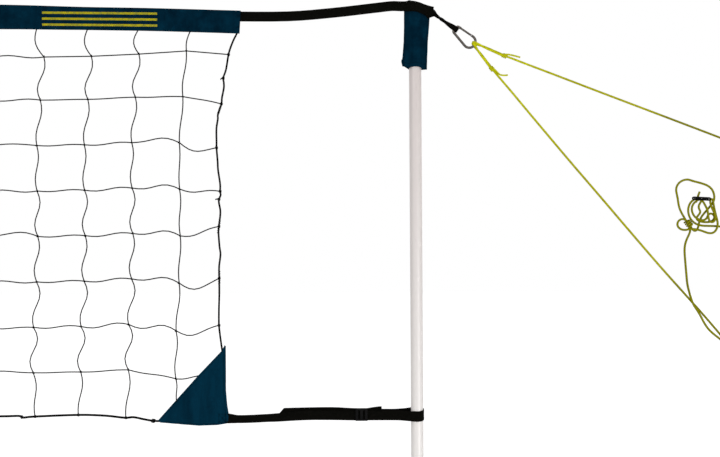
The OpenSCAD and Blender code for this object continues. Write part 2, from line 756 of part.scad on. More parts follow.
module slack_hank() {
    color(rope_olive) translate(rope_start + hank_place) rotate([90, 0, 0]) linear_extrude(hank_t, center = true) {
        square([hank_w, hank_h - hank_w], center = true);
        for (s = [-1, 1]) translate([0, s * (hank_h - hank_w) / 2]) circle(d = hank_w);
    }
}

// Flat bar with three holes that the rope is threaded through
module rope_tensioner() {
    color(plastic_black) translate(rope_start + tensioner_place) rotate([tensioner_lean, 3, 0]) difference() {
        union() {
            cube([tensioner_length - tensioner_height, tensioner_t, tensioner_height], center = true);
            for (s = [-1, 1]) translate([s * (tensioner_length - tensioner_height) / 2, 0, 0])
                rotate([90, 0, 0]) cylinder(h = tensioner_t, d = tensioner_height, center = true);
        }
        for (s = [-1, 0, 1]) translate([s * (tensioner_length - tensioner_height) / 2, 0, 0])
            rotate([90, 0, 0]) cylinder(h = 2 * tensioner_t, d = rope_d + 2 * loose, center = true);
    }
}

lower_tube();  // lower_tube_right
foot_cap();  // foot_cap_right
clamp_collar();  // clamp_collar_right
clamp_bolt();  // clamp_bolt_right
clamp_lever();  // clamp_lever_right
upper_tube();  // upper_tube_right
guide_bush();  // guide_bush_right
top_cap();  // top_cap_right
pole_sleeve();  // pole_sleeve_right
top_strap();  // top_strap_right
tail_strap(tail_path_right, hook_right);  // tail_strap_right
at_hook(hook_right) hook_body();  // hook_body_right
at_hook(hook_right) hook_gate();  // hook_gate_right
at_hook(hook_right) hook_rivet();  // hook_rivet_right
at_hook(hook_right) gate_spring();  // gate_spring_right
corner_patch();  // corner_patch_right
bottom_strap();  // bottom_strap_right
strap_slider();  // strap_slider_right
side_cord();  // side_cord_right
left_end() lower_tube();  // lower_tube_left
left_end() foot_cap();  // foot_cap_left
left_end() clamp_collar();  // clamp_collar_left
left_end() clamp_bolt();  // clamp_bolt_left
left_end() clamp_lever();  // clamp_lever_left
left_end() upper_tube();  // upper_tube_left
left_end() guide_bush();  // guide_bush_left
left_end() top_cap();  // top_cap_left
left_end() pole_sleeve();  // pole_sleeve_left
left_end() top_strap();  // top_strap_left
left_end() tail_strap(tail_path_left, hook_left);  // tail_strap_left
left_end() at_hook(hook_left) hook_body();  // hook_body_left
left_end() at_hook(hook_left) hook_gate();  // hook_gate_left
left_end() at_hook(hook_left) hook_rivet();  // hook_rivet_left
left_end() at_hook(hook_left) gate_spring();  // gate_spring_left
left_end() corner_patch();  // corner_patch_left
left_end() bottom_strap();  // bottom_strap_left
left_end() strap_slider();  // strap_slider_left
left_end() side_cord();  // side_cord_left
top_band();
head_webbing();
net_uprights();
net_levels();
bottom_cord();
guy_rope(back_rope_path);  // guy_rope_back
rope_eye(eye_angle_back, back_rope_path);  // rope_eye_back
rope_end(back_rope_path);  // rope_end_back
guy_rope(front_rope_path);  // guy_rope_front
rope_eye(eye_angle_front, front_rope_path);  // rope_eye_front
rope_end(front_rope_path);  // rope_end_front
guy_rope(slack_run_path);  // slack_run
slack_hank();
guy_rope(slack_tail_path);  // slack_tail
rope_tensioner();
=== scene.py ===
import math
import random

import bmesh
import bpy
from mathutils import Matrix, Vector, noise


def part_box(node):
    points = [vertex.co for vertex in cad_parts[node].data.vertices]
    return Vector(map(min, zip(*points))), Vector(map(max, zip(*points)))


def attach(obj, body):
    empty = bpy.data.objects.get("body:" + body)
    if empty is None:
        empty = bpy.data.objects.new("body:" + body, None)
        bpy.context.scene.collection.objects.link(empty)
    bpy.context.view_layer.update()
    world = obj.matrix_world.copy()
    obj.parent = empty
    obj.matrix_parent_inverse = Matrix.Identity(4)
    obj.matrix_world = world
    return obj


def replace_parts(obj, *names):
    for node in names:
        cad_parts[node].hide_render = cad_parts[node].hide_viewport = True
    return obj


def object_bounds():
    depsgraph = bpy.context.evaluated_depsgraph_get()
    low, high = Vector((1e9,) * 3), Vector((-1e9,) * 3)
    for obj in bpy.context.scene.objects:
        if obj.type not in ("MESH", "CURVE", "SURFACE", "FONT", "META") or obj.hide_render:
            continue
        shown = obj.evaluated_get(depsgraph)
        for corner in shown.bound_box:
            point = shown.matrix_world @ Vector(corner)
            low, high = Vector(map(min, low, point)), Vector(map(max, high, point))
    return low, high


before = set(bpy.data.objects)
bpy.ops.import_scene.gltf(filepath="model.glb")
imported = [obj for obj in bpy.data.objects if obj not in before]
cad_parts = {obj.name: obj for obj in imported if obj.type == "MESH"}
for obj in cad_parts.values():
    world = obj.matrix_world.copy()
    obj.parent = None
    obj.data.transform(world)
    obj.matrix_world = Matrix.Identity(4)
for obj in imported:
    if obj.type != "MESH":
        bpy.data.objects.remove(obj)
cadBox = [list(corner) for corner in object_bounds()]
poleHalf = -sum(corner.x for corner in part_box("lower_tube_left")) / 4  # half the way from pole to pole
print("frame loaded")

# Camera, straight at the net's plane
cameraSize = {"place": (-0.118, -2.5, 1.770), "roll": -0.33, "imageWidth": 720, "pixelsPerMetre": 475}


def makeCamera():
    data = bpy.data.cameras.new("camera")
    width = cameraSize["imageWidth"] / cameraSize["pixelsPerMetre"]  # what it sees at the net
    data.lens = data.sensor_width * -cameraSize["place"][1] / width
    data.clip_start = 0.05
    camera = bpy.data.objects.new("camera", data)
    bpy.context.scene.collection.objects.link(camera)
    roll = Matrix.Rotation(math.radians(cameraSize["roll"]), 4, "Z")
    level = Matrix.Rotation(math.radians(90), 4, "X")
    camera.matrix_world = Matrix.Translation(cameraSize["place"]) @ level @ roll
    bpy.context.scene.camera = camera


makeCamera()


# Shader sums written as Python sums
class Value:
    def __init__(self, finish, socket):
        self.finish, self.socket = finish, socket

    def sum(self, operation, *values):
        return self.finish.add("ShaderNodeMath", {"operation": operation}, values)

    def __add__(self, other):
        return self.sum("ADD", self, other)

    def __sub__(self, other):
        return self.sum("SUBTRACT", self, other)

    def __rsub__(self, other):
        return self.sum("SUBTRACT", other, self)

    def __mul__(self, other):
        return self.sum("MULTIPLY", self, other)

    def __truediv__(self, other):
        return self.sum("DIVIDE", self, other)

    def __gt__(self, other):
        return self.sum("GREATER_THAN", self, other)

    def __lt__(self, other):
        return self.sum("LESS_THAN", self, other)

    __radd__, __rmul__ = __add__, __mul__

    def wave(self, length):
        return self.sum("SINE", self * (2 * math.pi / length)) * 0.5 + 0.5

    def size(self):
        return self.sum("ABSOLUTE", self)

    def part(self, length):
        return self.sum("FRACT", self / length)


class Finish:
    def __init__(self, name, **fixed):
        self.material = bpy.data.materials.new(name)
        self.material.use_nodes = True
        self.nodes = self.material.node_tree.nodes
        self.nodes.clear()
        self.shader = self.nodes.new("ShaderNodeBsdfPrincipled")
        out = self.nodes.new("ShaderNodeOutputMaterial")
        self.material.node_tree.links.new(self.shader.outputs[0], out.inputs[0])
        self.give(self.shader, fixed)

    def give(self, node, values):
        named = values.items() if isinstance(values, dict) else enumerate(values)
        for key, value in named:
            socket = node.inputs[key]
            if isinstance(value, Value):
                self.material.node_tree.links.new(value.socket, socket)
            else:
                socket.default_value = value

    def add(self, kind, settings=None, values=(), output=0):
        node = self.nodes.new(kind)
        for key, value in (settings or {}).items():
            if key == "stops":
                while len(node.color_ramp.elements) < len(value):
                    node.color_ramp.elements.new(1)
                for element, (place, colour) in zip(node.color_ramp.elements, value):
                    element.position, element.color = place, colour
            else:
                setattr(node, key, value)
        self.give(node, values)
        return Value(self, node.outputs[output])

    def place(self):
        return self.add("ShaderNodeTexCoord", output="Object")

    def along(self):
        return self.parts(self.add("ShaderNodeUVMap", {"uv_map": "flat"}))

    def parts(self, vector):
        return [self.add("ShaderNodeSeparateXYZ", values=[vector], output=axis) for axis in range(3)]

    def noise(self, vector, scale, detail=3, roughness=0.55):
        values = {"Vector": vector, "Scale": scale, "Detail": detail, "Roughness": roughness}
        return self.add("ShaderNodeTexNoise", values=values)

    def stretched(self, vector, factors):
        return self.add("ShaderNodeVectorMath", {"operation": "MULTIPLY"}, [vector, factors])

    def mix(self, factor, first, second):
        settings = {"data_type": "RGBA", "clamp_factor": True}
        return self.add("ShaderNodeMix", settings, {0: factor, 6: first, 7: second}, 2)

    def spread(self, value, low, high, start=0, end=1):
        return self.add("ShaderNodeMapRange", values=[value, low, high, start, end])

    def bump(self, height, distance, strength=1, normal=None):
        values = {"Height": height, "Distance": distance, "Strength": strength}
        if normal:
            values["Normal"] = normal
        return self.add("ShaderNodeBump", values=values)

    def wear(self, **values):
        self.give(self.shader, {key.replace("_", " "): value for key, value in values.items()})
        return self.material


def rgb(*screen):  # from screen values of 0 to 255
    shares = [value / 255 for value in screen]
    return (*[v / 12.92 if v <= 0.04045 else ((v + 0.055) / 1.055) ** 2.4 for v in shares], 1)


# Cloth: plain weave, with faint cloudy marks from handling
clothLook = {
    "thread": 0.0009, "colour": rgb(0, 30, 47), "pale": rgb(4, 50, 71), "dark": rgb(0, 20, 34),
    "clouds": 34, "streaks": (60, 60, 9), "folds": 70, "palerBelow": (1.5, 2.1),
}
printLook = {"colour": rgb(184, 172, 30), "worn": rgb(140, 140, 52), "blotches": 120, "pinholes": 900}


def clothFinish(name, stripes=None):
    f = Finish(name, **{"Specular IOR Level": 0.012})
    u, v, _ = f.along()
    place = f.place()
    warp, weft = u.wave(clothLook["thread"] * 2), v.wave(clothLook["thread"] * 2)
    over = warp * weft + (1 - warp) * (1 - weft)
    cloud = f.noise(place, clothLook["clouds"], 5, 0.62)
    streak = f.noise(f.stretched(place, clothLook["streaks"]), 1, 4)
    _, _, height = f.parts(place)
    low = f.spread(height, *clothLook["palerBelow"], 0.7, 0)
    shade = f.mix(f.spread(cloud, 0.36, 0.72) + low, clothLook["colour"], clothLook["pale"])
    shade = f.mix(f.spread(streak, 0.45, 0.8, 0, 0.7), shade, clothLook["dark"])
    shade = f.mix(over * 0.25, shade, clothLook["dark"])
    if stripes:
        mask = stripes(f, place)
        worn = f.spread(f.noise(place, printLook["blotches"], 4), 0.42, 0.7)
        ink = f.mix(worn, printLook["colour"], printLook["worn"])
        shade = f.mix(mask * f.spread(f.noise(place, printLook["pinholes"], 2), 0.26, 0.32), shade, ink)
    weave = f.bump(over, 0.00022, 0.8)
    fold = f.bump(f.noise(place, clothLook["folds"], 3), 0.0016, 0.5, weave)
    return f.wear(Base_Color=shade, Roughness=f.spread(cloud, 0.3, 0.7, 0.62, 0.8), Normal=fold)


# Webbing: herringbone ribs between two plain selvedges
webbingLook = {
    "rib": 0.0017, "width": 0.021, "selvedge": 0.0016, "dust": 260,
    "colour": rgb(7, 7, 5), "pale": rgb(21, 20, 17),
}


def webbingFinish(name):
    f = Finish(name, **{"Specular IOR Level": 0.02})
    u, v, _ = f.along()
    rib, half = webbingLook["rib"], webbingLook["width"] / 2
    across = (v.part(half * 2) * (half * 2) - half).size()
    slant = (u + across.part(half / 2) * (half / 2) * 1.1).wave(rib)
    edge = across > half - webbingLook["selvedge"]
    ridge = slant * (1 - edge) + u.wave(rib / 2) * edge
    dust = f.noise(f.place(), webbingLook["dust"], 5)
    shade = f.mix(f.spread(dust, 0.45, 0.8, 0, 0.9), webbingLook["colour"], webbingLook["pale"])
    shade = f.mix(ridge * 0.35, shade, webbingLook["pale"])
    rough = f.spread(dust, 0.3, 0.7, 0.6, 0.85)
    return f.wear(Base_Color=shade, Roughness=rough, Normal=f.bump(ridge, 0.0004, 0.9))


# Twine and cord: strands twisted round each other
def twineFinish(name, strands, lay, colour, pale):
    f = Finish(name, **{"Specular IOR Level": 0.02})
    u, v, _ = f.along()
    strand = (v * strands + u / lay).wave(1)
    fuzz = f.noise(f.place(), 1400, 3)
    shade = f.mix(strand * 0.5 + fuzz * 0.3, colour, pale)
    rough = f.spread(fuzz, 0.3, 0.7, 0.65, 0.9)
    return f.wear(Base_Color=shade, Roughness=rough, Normal=f.bump(strand + fuzz * 0.2, 0.0003, 0.9))


# Guy rope: a braid of bright yarns with a darker tracer, olive further from the pole, and darker still over
# the hank as painted shade
ropeLook = {
    "plait": 0.0052, "bright": rgb(224, 226, 16), "olive": rgb(186, 182, 10), "tracer": rgb(134, 134, 16),
    "hankShade": rgb(140, 137, 10), "brightUntil": 0.16, "oliveFrom": 0.34, "hankShadeFrom": (0.5, 0.54),
}


def ropeFinish(name):
    f = Finish(name, **{"Specular IOR Level": 0.05})
    u, v, _ = f.along()
    place = f.place()
    x, _, _ = f.parts(place)
    right, left = v * 4 + u / ropeLook["plait"], v * 4 - u / ropeLook["plait"]
    over = (right + left).wave(2) > 0.5
    plait = right.wave(1) * over + left.wave(1) * (1 - over)
    tracer = (right.part(4) < 0.22) * over
    dirt = f.noise(place, 95, 4)
    out = (x + poleHalf).size() - poleHalf  # distance outside the nearer pole's axis
    away = f.spread(out, ropeLook["brightUntil"], ropeLook["oliveFrom"])
    shade = f.mix(away * 0.85, ropeLook["bright"], ropeLook["olive"])
    # painted shade: from about half a metre out, over the hank and the rope's ends, the rope turns darker
    hankShadeShare = f.spread(out, *ropeLook["hankShadeFrom"])
    shade = f.mix(hankShadeShare, shade, ropeLook["hankShade"])
    shade = f.mix(f.spread(dirt, 0.42, 0.75, 0, 0.45), shade, ropeLook["tracer"])
    shade = f.mix((1 - plait) * 0.22, shade, ropeLook["tracer"])
    shade = f.mix(tracer * 0.3, shade, ropeLook["tracer"])
    rough = f.spread(dirt, 0.3, 0.7, 0.55, 0.75)
    return f.wear(Base_Color=shade, Roughness=rough, Normal=f.bump(plait, 0.0003, 0.8))


# Paint on the tubes: satin, with fine orange peel and small scuffs, and painted light that makes the lower
# part paler
paintLook = {
    "colour": rgb(222, 212, 209), "low": rgb(247, 243, 240), "scuff": rgb(180, 174, 168),
    "paintedLightFrom": (1.3, 2.1), "rubs": (240, 240, 14), "peel": 900,
}


def paintFinish(name):
    f = Finish(name, **{"Specular IOR Level": 0.5, "Coat Roughness": 0.25})
    place = f.place()
    _, _, z = f.parts(place)
    peel = f.noise(place, paintLook["peel"], 2)
    rub = f.noise(f.stretched(place, paintLook["rubs"]), 1, 5)
    mark = f.spread(rub, 0.66, 0.74)
    # painted light: the colour turns to the paler low colour towards the tube's foot
    shade = f.mix(f.spread(z, *paintLook["paintedLightFrom"]), paintLook["low"], paintLook["colour"])
    shade = f.mix(mark * 0.35, shade, paintLook["scuff"])
    rough = f.spread(rub, 0.3, 0.75, 0.3, 0.52)
    return f.wear(Base_Color=shade, Roughness=rough, Coat_Weight=0.25, Normal=f.bump(peel, 0.00008, 0.35))


# Moulded plastic: fine spark texture, rubbed smoother in places
plasticLook = {"colour": rgb(6, 6, 7), "rubbed": rgb(22, 22, 21), "grain": 2600, "rubs": 55}


def plasticFinish(name):
    f = Finish(name, **{"Specular IOR Level": 0.08})
    place = f.place()
    grain, rub = f.noise(place, plasticLook["grain"], 2), f.noise(place, plasticLook["rubs"], 4)
    shade = f.mix(f.spread(rub, 0.5, 0.8, 0, 0.7), plasticLook["colour"], plasticLook["rubbed"])
    rough = f.spread(rub, 0.35, 0.7, 0.58, 0.4)
    return f.wear(Base_Color=shade, Roughness=rough, Normal=f.bump(grain, 0.00012, 0.6))


# Plated steel: dull grey, with fine grain and darker spots
steelLook = {"colour": rgb(112, 106, 101), "spot": rgb(70, 66, 62), "spots": 420, "grain": 3200}


def steelFinish(name):
    f = Finish(name, Metallic=0.9)
    place = f.place()
    spot, grain = f.noise(place, steelLook["spots"], 5, 0.65), f.noise(place, steelLook["grain"], 2)
    shade = f.mix(f.spread(spot, 0.4, 0.7), steelLook["colour"], steelLook["spot"])
    rough = f.spread(spot, 0.3, 0.75, 0.34, 0.55)
    return f.wear(Base_Color=shade, Roughness=rough, Normal=f.bump(grain, 0.00006, 0.5))


# Three plain stripes printed near each end of the band, on both faces
stripeSize = {"from": 0.542, "to": 0.784, "middle": 2.2135, "gap": 0.0125, "height": 0.0048, "slope": 0.0146}


def bandStripes(f, place):
    x, _, z = f.parts(place)
    out = poleHalf - (x + poleHalf).size()  # distance inside the nearer pole's axis
    halfway, half = (stripeSize["from"] + stripeSize["to"]) / 2, stripeSize["height"] / 2
    level = (z - stripeSize["middle"] + (halfway - out) * stripeSize["slope"]).size()
    inked = (level < half) + ((level - stripeSize["gap"]).size() < half)
    return (inked > 0.5) * (out > stripeSize["from"]) * (out < stripeSize["to"])


finishes = {
    "navy_cloth": clothFinish("navyCloth"),
    "band": clothFinish("bandCloth", bandStripes),
    "black_webbing": webbingFinish("webbing"),
    "black_twine": twineFinish("twine", 3, 0.004, rgb(8, 8, 8), rgb(28, 27, 26)),
    # the seam thread's dark colour is partly its own and partly painted shade of the seams
    "thread": twineFinish("seamThreadAndShade", 2, 0.003, rgb(0, 10, 18), rgb(1, 26, 40)),
    "cord": twineFinish("netCord", 6, 0.009, rgb(6, 6, 6), rgb(24, 23, 22)),
    "guy_rope": ropeFinish("guyRope"),
    "painted_tube": paintFinish("tubePaint"),
    "black_plastic": plasticFinish("mouldedPlastic"),
    "steel_wire": steelFinish("platedSteel"),
}
print("finishes made")


# Making and placing pieces
otherEnd = Matrix.Translation((-2 * poleHalf, 0, 0)) @ Matrix.Diagonal((-1, 1, 1, 1))  # to the left pole


def mm(*numbers):
    return Vector(numbers) / 1000


def clamp(value):
    return max(0, min(1, value))


def smooth(points, steps):  # a rounder line through the same points
    line = []
    for i in range(len(points) - 1):
        a, b = points[i], points[i + 1]
        before, after = points[max(i - 1, 0)], points[min(i + 2, len(points) - 1)]
        for k in range(steps):
            t = k / steps
            line.append(
                0.5 * (2 * a + (b - before) * t + (2 * before - 5 * a + 4 * b - after) * t**2
                       + (3 * a - before - 3 * b + after) * t**3)
            )
    return line + [points[-1]]


def evenLine(points, gap=0.0015, passes=6):  # the same route with even steps and no sharp bends
    rough, line, left = smooth(points, 6), [points[0]], 0
    for a, b in zip(rough, rough[1:]):
        length = (b - a).length
        while left + gap <= length:
            left += gap
            line.append(a.lerp(b, left / length))
        left -= length
    line.append(points[-1])
    for _ in range(passes):
        line = [line[0]] + [(a + 2 * b + c) / 4 for a, b, c in zip(line, line[1:], line[2:])] + [line[-1]]
    return line


def frames(line, side):  # a frame at each point, with its Z along the line and its X kept near side
    found, across = [], side
    for i, point in enumerate(line):
        way = (line[min(i + 1, len(line) - 1)] - line[max(i - 1, 0)]).normalized()
        across = (across - across.dot(way) * way).normalized()
        turn = Matrix((across, way.cross(across), way)).transposed().to_4x4()
        found.append(Matrix.Translation(point) @ turn)
    return found


def sweep(bm, ring, places, oneTurn=False, ends=True):  # draws a ring, made at the origin, through places
    uv = bm.loops.layers.uv.get("flat") or bm.loops.layers.uv.new("flat")
    shape = [v.co.copy() for v in ring]
    around = [0]
    for here, there in zip(shape, shape[1:] + shape[:1]):
        around.append(around[-1] + (there - here).length)
    if oneTurn:  # the pattern goes once round, whatever the thickness
        around = [length / around[-1] for length in around]
    edges = [bm.edges.get(pair) or bm.edges.new(pair) for pair in zip(ring, ring[1:] + ring[:1])]
    for v, co in zip(ring, shape):
        v.co = places[0] @ co
    first, far = ring, 0
    for before, after in zip(places, places[1:]):
        made = set(bmesh.ops.extrude_edge_only(bm, edges=edges)["geom"])
        following = [next(e.other_vert(v) for e in v.link_edges if e.other_vert(v) in made) for v in ring]
        for v, co in zip(following, shape):
            v.co = after @ co
        step = (after.translation - before.translation).length
        edges = []
        for i in range(len(ring)):
            j = (i + 1) % len(ring)
            edges.append(bm.edges.get((following[i], following[j])))
            where = {ring[i]: (far, around[i]), ring[j]: (far, around[i + 1]),
                     following[i]: (far + step, around[i]), following[j]: (far + step, around[i + 1])}
            for loop in edges[-1].link_faces[0].loops:
                loop[uv].uv = where[loop.vert]
        ring, far = following, far + step
    if ends:
        for loop in (first, ring):
            bm.faces.new(loop)
    return first, ring


def circle(bm, radius, sides):
    return bmesh.ops.create_circle(bm, segments=sides, radius=radius)["verts"]


def cordTube(bm, line, diameter, side=Vector((0, 1, 0)), sides=8):
    sweep(bm, circle(bm, diameter / 2, sides), frames(line, side), oneTurn=True)


def strip(bm, width, thickness):  # webbing's section: flat, with thin rounded edges
    half, edge = width / 2, thickness / 2
    outline = [(half, 0), (half - edge * 0.6, edge), (0, edge), (-half + edge * 0.6, edge),
               (-half, 0), (-half + edge * 0.6, -edge), (0, -edge), (half - edge * 0.6, -edge)]
    return [bm.verts.new((x, y, 0)) for x, y in outline]


def piece(name, bm, finish, body, angle=50):
    bmesh.ops.recalc_face_normals(bm, faces=bm.faces)
    mesh = bpy.data.meshes.new(name)
    bm.to_mesh(mesh)
    bm.free()
    mesh.shade_smooth()
    mesh.set_sharp_from_angle(angle=math.radians(angle))
    mesh.materials.append(finishes[finish])
    made = bpy.data.objects.new(name, mesh)
    bpy.context.scene.collection.objects.link(made)
    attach(made, body)
    return made


def leftTwin(made, name, body, nodes=()):  # the same piece at the net's other end
    mesh = made.data.copy()
    mesh.transform(otherEnd)
    mesh.flip_normals()
    twin = bpy.data.objects.new(name, mesh)
    bpy.context.scene.collection.objects.link(twin)
    for modifier in made.modifiers:
        copy = twin.modifiers.new(modifier.name, modifier.type)
        copy.thickness, copy.offset = modifier.thickness, modifier.offset
    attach(twin, body)
    if nodes:
        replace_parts(twin, *nodes)
    return twin


# Snap hooks of bent wire. Their sizes stand here because the ropes start from the right one
hookSize = {
    "reach": 40, "cornerRadius": 4, "endRadius": 13, "wire": 5.5, "rivet": 3.8, "nose": 3.5, "slot": 2.2,
    "cheek": (0.0062, 0.0046), "cheekPlace": -0.0008, "cheekEdge": 0.0006,
    "right": {"bar": (84.9, 0, 2189.3), "turn": 42.5, "body": "net_frame"},
    "left": {"bar": (60, 0, 2167), "turn": 90, "body": "hook_left"},
}


def hookReach(side, length):  # a place in the hook's middle plane, at a distance from its bar
    turn = math.radians(hookSize[side]["turn"])
    return mm(*hookSize[side]["bar"]) + length / 1000 * Vector((math.cos(turn), 0, -math.sin(turn)))


# Ropes. Their lines repeat the CAD's, from the point just outside the right hook
ropeSize = {
    "diameter": 0.0046, "start": mm(125.08, 0, 2154.69), "hookEnd": mm(114.39, 0, 2162.28),
    "clear": 0.00055, "endLoop": 0.013, "stub": 0.0036, "hitchAngle": -29,
    "eye": [(1, 0.0024, 34), (0.8, 0.0024, 32), (0.6, 0.0024, 30), (0.42, 0.0027, 24), (0.27, 0.0034, 14),
            (0.14, 0.0045, 0)],  # share of its length, distance from its middle, turn
    "knotLength": 0.012, "knot": (0.0036, 0.009, 2.5, 0.0036),  # radius, length, turns, thickness
    "hitch": (0.0046, 0.004, 1.4, 0.0034), "tie": (0.0058, 0.0135, 3, 0.004),
}
guyRopes = {
    "back": {
        "eyeAngle": -15, "length": 0.77,
        "stub": [(63, 2, -20.5), (70, 0, -20), (83, -2, -23), (96, -3, -26.8)],
        "path": [(70, 7, -24), (80, 8, -27.5), (119, 13, -41.8), (171, 18, -60.9), (248, 26, -89.3),
                 (330, 35, -119.3), (429, 45, -155.5), (533, 56, -193.7), (571, 60, -208)],
    },
    "front": {
        "eyeAngle": -40, "length": 1.06,
        "stub": [(36, -4, -46.5), (44, -6, -55), (52, -7, -63), (60, -8, -65), (69, -8, -64.5)],
        "path": [(40, -4, -55), (48, -5, -65), (76, -8, -99), (113, -12, -145), (151, -17, -192),
                 (193, -21, -243.5), (257, -29, -321), (317, -36, -394), (377, -42, -466), (432, -49, -530),
                 (469, -53, -573), (530, -60, -647)],
    },
}


def hookRim(degrees):  # a place on the right hook's wide end
    angle = math.radians(degrees)
    return ropeSize["hookEnd"] + hookSize["endRadius"] / 1000 * Vector((math.cos(angle), 0, math.sin(angle)))


def eyeLine(wire, knot):  # both strands of the eye, from the knot round the hook's wire and back
    d = (knot - wire).normalized()
    reach, across = (knot - wire).length, (Vector((0, 1, 0)) - d.y * d).normalized()
    flat = d.cross(across)
    hold = (hookSize["wire"] / 1000 + ropeSize["diameter"]) / 2 + ropeSize["clear"]
    strand, turns = ropeSize["eye"], map(math.radians, range(75, -76, -25))

    def beside(share, out, turn, way):
        angle = math.radians(turn)
        return wire + share * reach * d + way * out * (math.cos(angle) * across + math.sin(angle) * flat)

    bend = [wire - hold * math.cos(a) * d + hold * math.sin(a) * across for a in turns]
    return [beside(*s, 1) for s in strand] + bend + [beside(*s, -1) for s in reversed(strand)]


def endLine(last, away):  # through the end knot, round its loop and back
    radius, up = ropeSize["endLoop"], Vector((0, 0, 1))
    out = (up - up.dot(away) * away).normalized()
    centre = last + (ropeSize["knotLength"] + radius) * away
    turns = map(math.radians, range(20, 341, 20))
    loop = [centre + radius * (-math.cos(a) * away + math.sin(a) * out) for a in turns]
    return [last + 0.005 * away + 0.0015 * out] + loop + [last + 0.004 * away - 0.0022 * out]


def wraps(middle, away, radius, length, turns, thickness):  # the turns that make a knot
    side = Vector((0, 1, 0)).cross(away).normalized()
    up, line, steps = away.cross(side), [], 12
    for i in range(round(turns * steps) + 1):
        a = i * 2 * math.pi / steps
        out = radius * (0.82 if i in (0, round(turns * steps)) else 1)  # its ends are tucked in
        centre = middle + length * (i / (turns * steps) - 0.5) * away
        line.append(centre + out * (math.cos(a) * side + math.sin(a) * up))
    bm = bmesh.new()
    cordTube(bm, line, thickness, away, 8)
    return bm


def joined(*parts):  # several bmeshes as one
    whole = bmesh.new()
    for part in parts:
        scrap = bpy.data.meshes.new("scrap")
        part.to_mesh(scrap)
        part.free()
        whole.from_mesh(scrap)
        bpy.data.meshes.remove(scrap)
    return whole


def ropeTube(line, thickness=ropeSize["diameter"]):
    bm = bmesh.new()
    cordTube(bm, line, thickness, Vector((0, 1, 0.02)).normalized(), 10)
    return bm


def makeGuyRope(name, size):
    start = ropeSize["start"]
    path = [start + mm(*p) for p in size["path"]]
    first, last = (path[1] - path[0]).normalized(), (path[-1] - path[-2]).normalized()
    knot, half = path[0] - ropeSize["knotLength"] * first, ropeSize["knotLength"] / 2
    eye = eyeLine(hookRim(size["eyeAngle"]), knot)
    route = [path[0] - 0.002 * first] + eye + path + endLine(path[-1], last)
    line = evenLine(route, passes=3)
    rope = piece(name + "Rope", ropeTube(line), "guy_rope", "net_frame")
    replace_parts(rope, "guy_rope_" + name, "rope_eye_" + name)
    stub = ropeTube(smooth([start + mm(*p) for p in size["stub"]], 4), ropeSize["stub"])
    turns = joined(wraps(knot + half * first, first, *ropeSize["knot"]), stub)
    eyeKnot = piece(name + "EyeKnot", turns, "guy_rope", "net_frame")
    turns = wraps(path[-1] + half * last, last, *ropeSize["knot"])
    endKnot = piece(name + "EndKnot", turns, "guy_rope", "net_frame")
    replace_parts(endKnot, "rope_end_" + name)
    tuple(line[0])


# The slack rope runs from the back rope's end, is wound into a loose hank and ends at the front rope's end
slackSize = {
    "length": 1.5, "bundle": (452, 12, -378.5), "bundleWay": (14, 0, -19),
    "runIn": [(571, 60, -208), (573, 62, -222), (574, 63, -245), (573, 62, -275), (570, 60, -305),
              (566, 57, -335), (561, 54, -358), (554, 50, -374), (545, 43, -383), (534, 34, -387),
              (523, 25, -385)],
    "firstRing": [(511, 19, -384), (495, 16, -383.5), (479, 15, -382.5), (467, 15, -378), (458, 14, -370),
                  (453, 12, -361), (451, 11, -351), (452, 10, -342), (456, 9, -333.5), (464, 8, -327),
                  (473, 8, -324.5), (478.5, 8.5, -330), (473, 9.5, -340), (474, 10.5, -348),
                  (477.5, 11.5, -353), (474.5, 12.5, -359), (469, 13, -366)],
    "innerCurl": [(471, 13, -371), (479, 13, -374.5), (488, 13, -375.5), (497, 13, -375),
                  (504, 12.5, -371.5), (507, 12, -365.5), (504.5, 11.5, -359.5), (498, 11, -357),
                  (493, 10.5, -360), (490.5, 9.5, -366), (486, 9, -370.5), (479.5, 9, -371.5),
                  (472.5, 9.5, -369.5)],
    "secondRing": [(466, 10.5, -365), (461, 11, -358), (458.5, 10.5, -348.5), (460.5, 9.5, -338.5),
                   (468, 8.5, -330.5), (475.5, 8, -327), (481.5, 7.5, -332), (486.5, 7, -341),
                   (490.5, 6.5, -350), (492, 6.5, -361), (493.5, 7, -370), (498.5, 7.5, -376),
                   (505, 7.5, -374), (507.5, 7.5, -366), (504.5, 7, -355), (500, 7, -345), (497, 7.5, -335),
                   (497.5, 8.5, -327), (502, 9.5, -326.5), (504, 10, -334)],
    "lowLoop": [(505.5, 10, -344), (508, 10.5, -355), (511, 11, -366), (513.5, 11.5, -378),
                (512, 12, -388.5), (507, 12, -396), (500, 11, -399), (491, 10, -398), (477, 9, -393),
                (463, 9, -390)],
    "leftLoop": [(453, 9, -390), (444, 10, -392), (435, 11, -390), (429, 12, -384), (429, 13, -376),
                 (434, 13, -370), (441, 12, -368.5), (448, 11, -372.5), (453.5, 10, -380), (458, 11, -388),
                 (463.5, 14, -393.5), (470, 17, -393), (474, 18, -386), (475.5, 17, -377)],
    "bigLoop": [(479, 16, -367), (484, 15, -359), (492, 14, -349.5), (499, 14, -341), (506, 14, -331),
                (507, 13, -320), (503, 12, -308), (494, 12, -299), (479, 12, -293), (464, 12, -289),
                (450, 12, -285), (438, 12, -288), (430, 12, -295), (426, 12, -306), (429, 12, -323),
                (432, 13, -341), (437, 14, -354), (444, 14.5, -366), (450, 14.5, -377), (455, 14, -387)],
    "tail": [(456, 14, -394), (452, 12, -403), (446, 10, -415), (442, 6, -427), (440, 0, -440),
             (439, -9, -460), (438, -19, -482), (437, -30, -503), (437, -41, -517), (438, -51, -530),
             (442, -55, -544), (449, -57, -556), (456, -58, -568), (462, -58, -580), (471, -58, -594),
             (483, -58, -606), (497, -58, -617), (514, -59, -632), (530, -60, -647)],
    "stub": [(467, 8.5, -334), (469, 8, -327), (471.5, 7.5, -319), (474.5, 7, -311)],
}


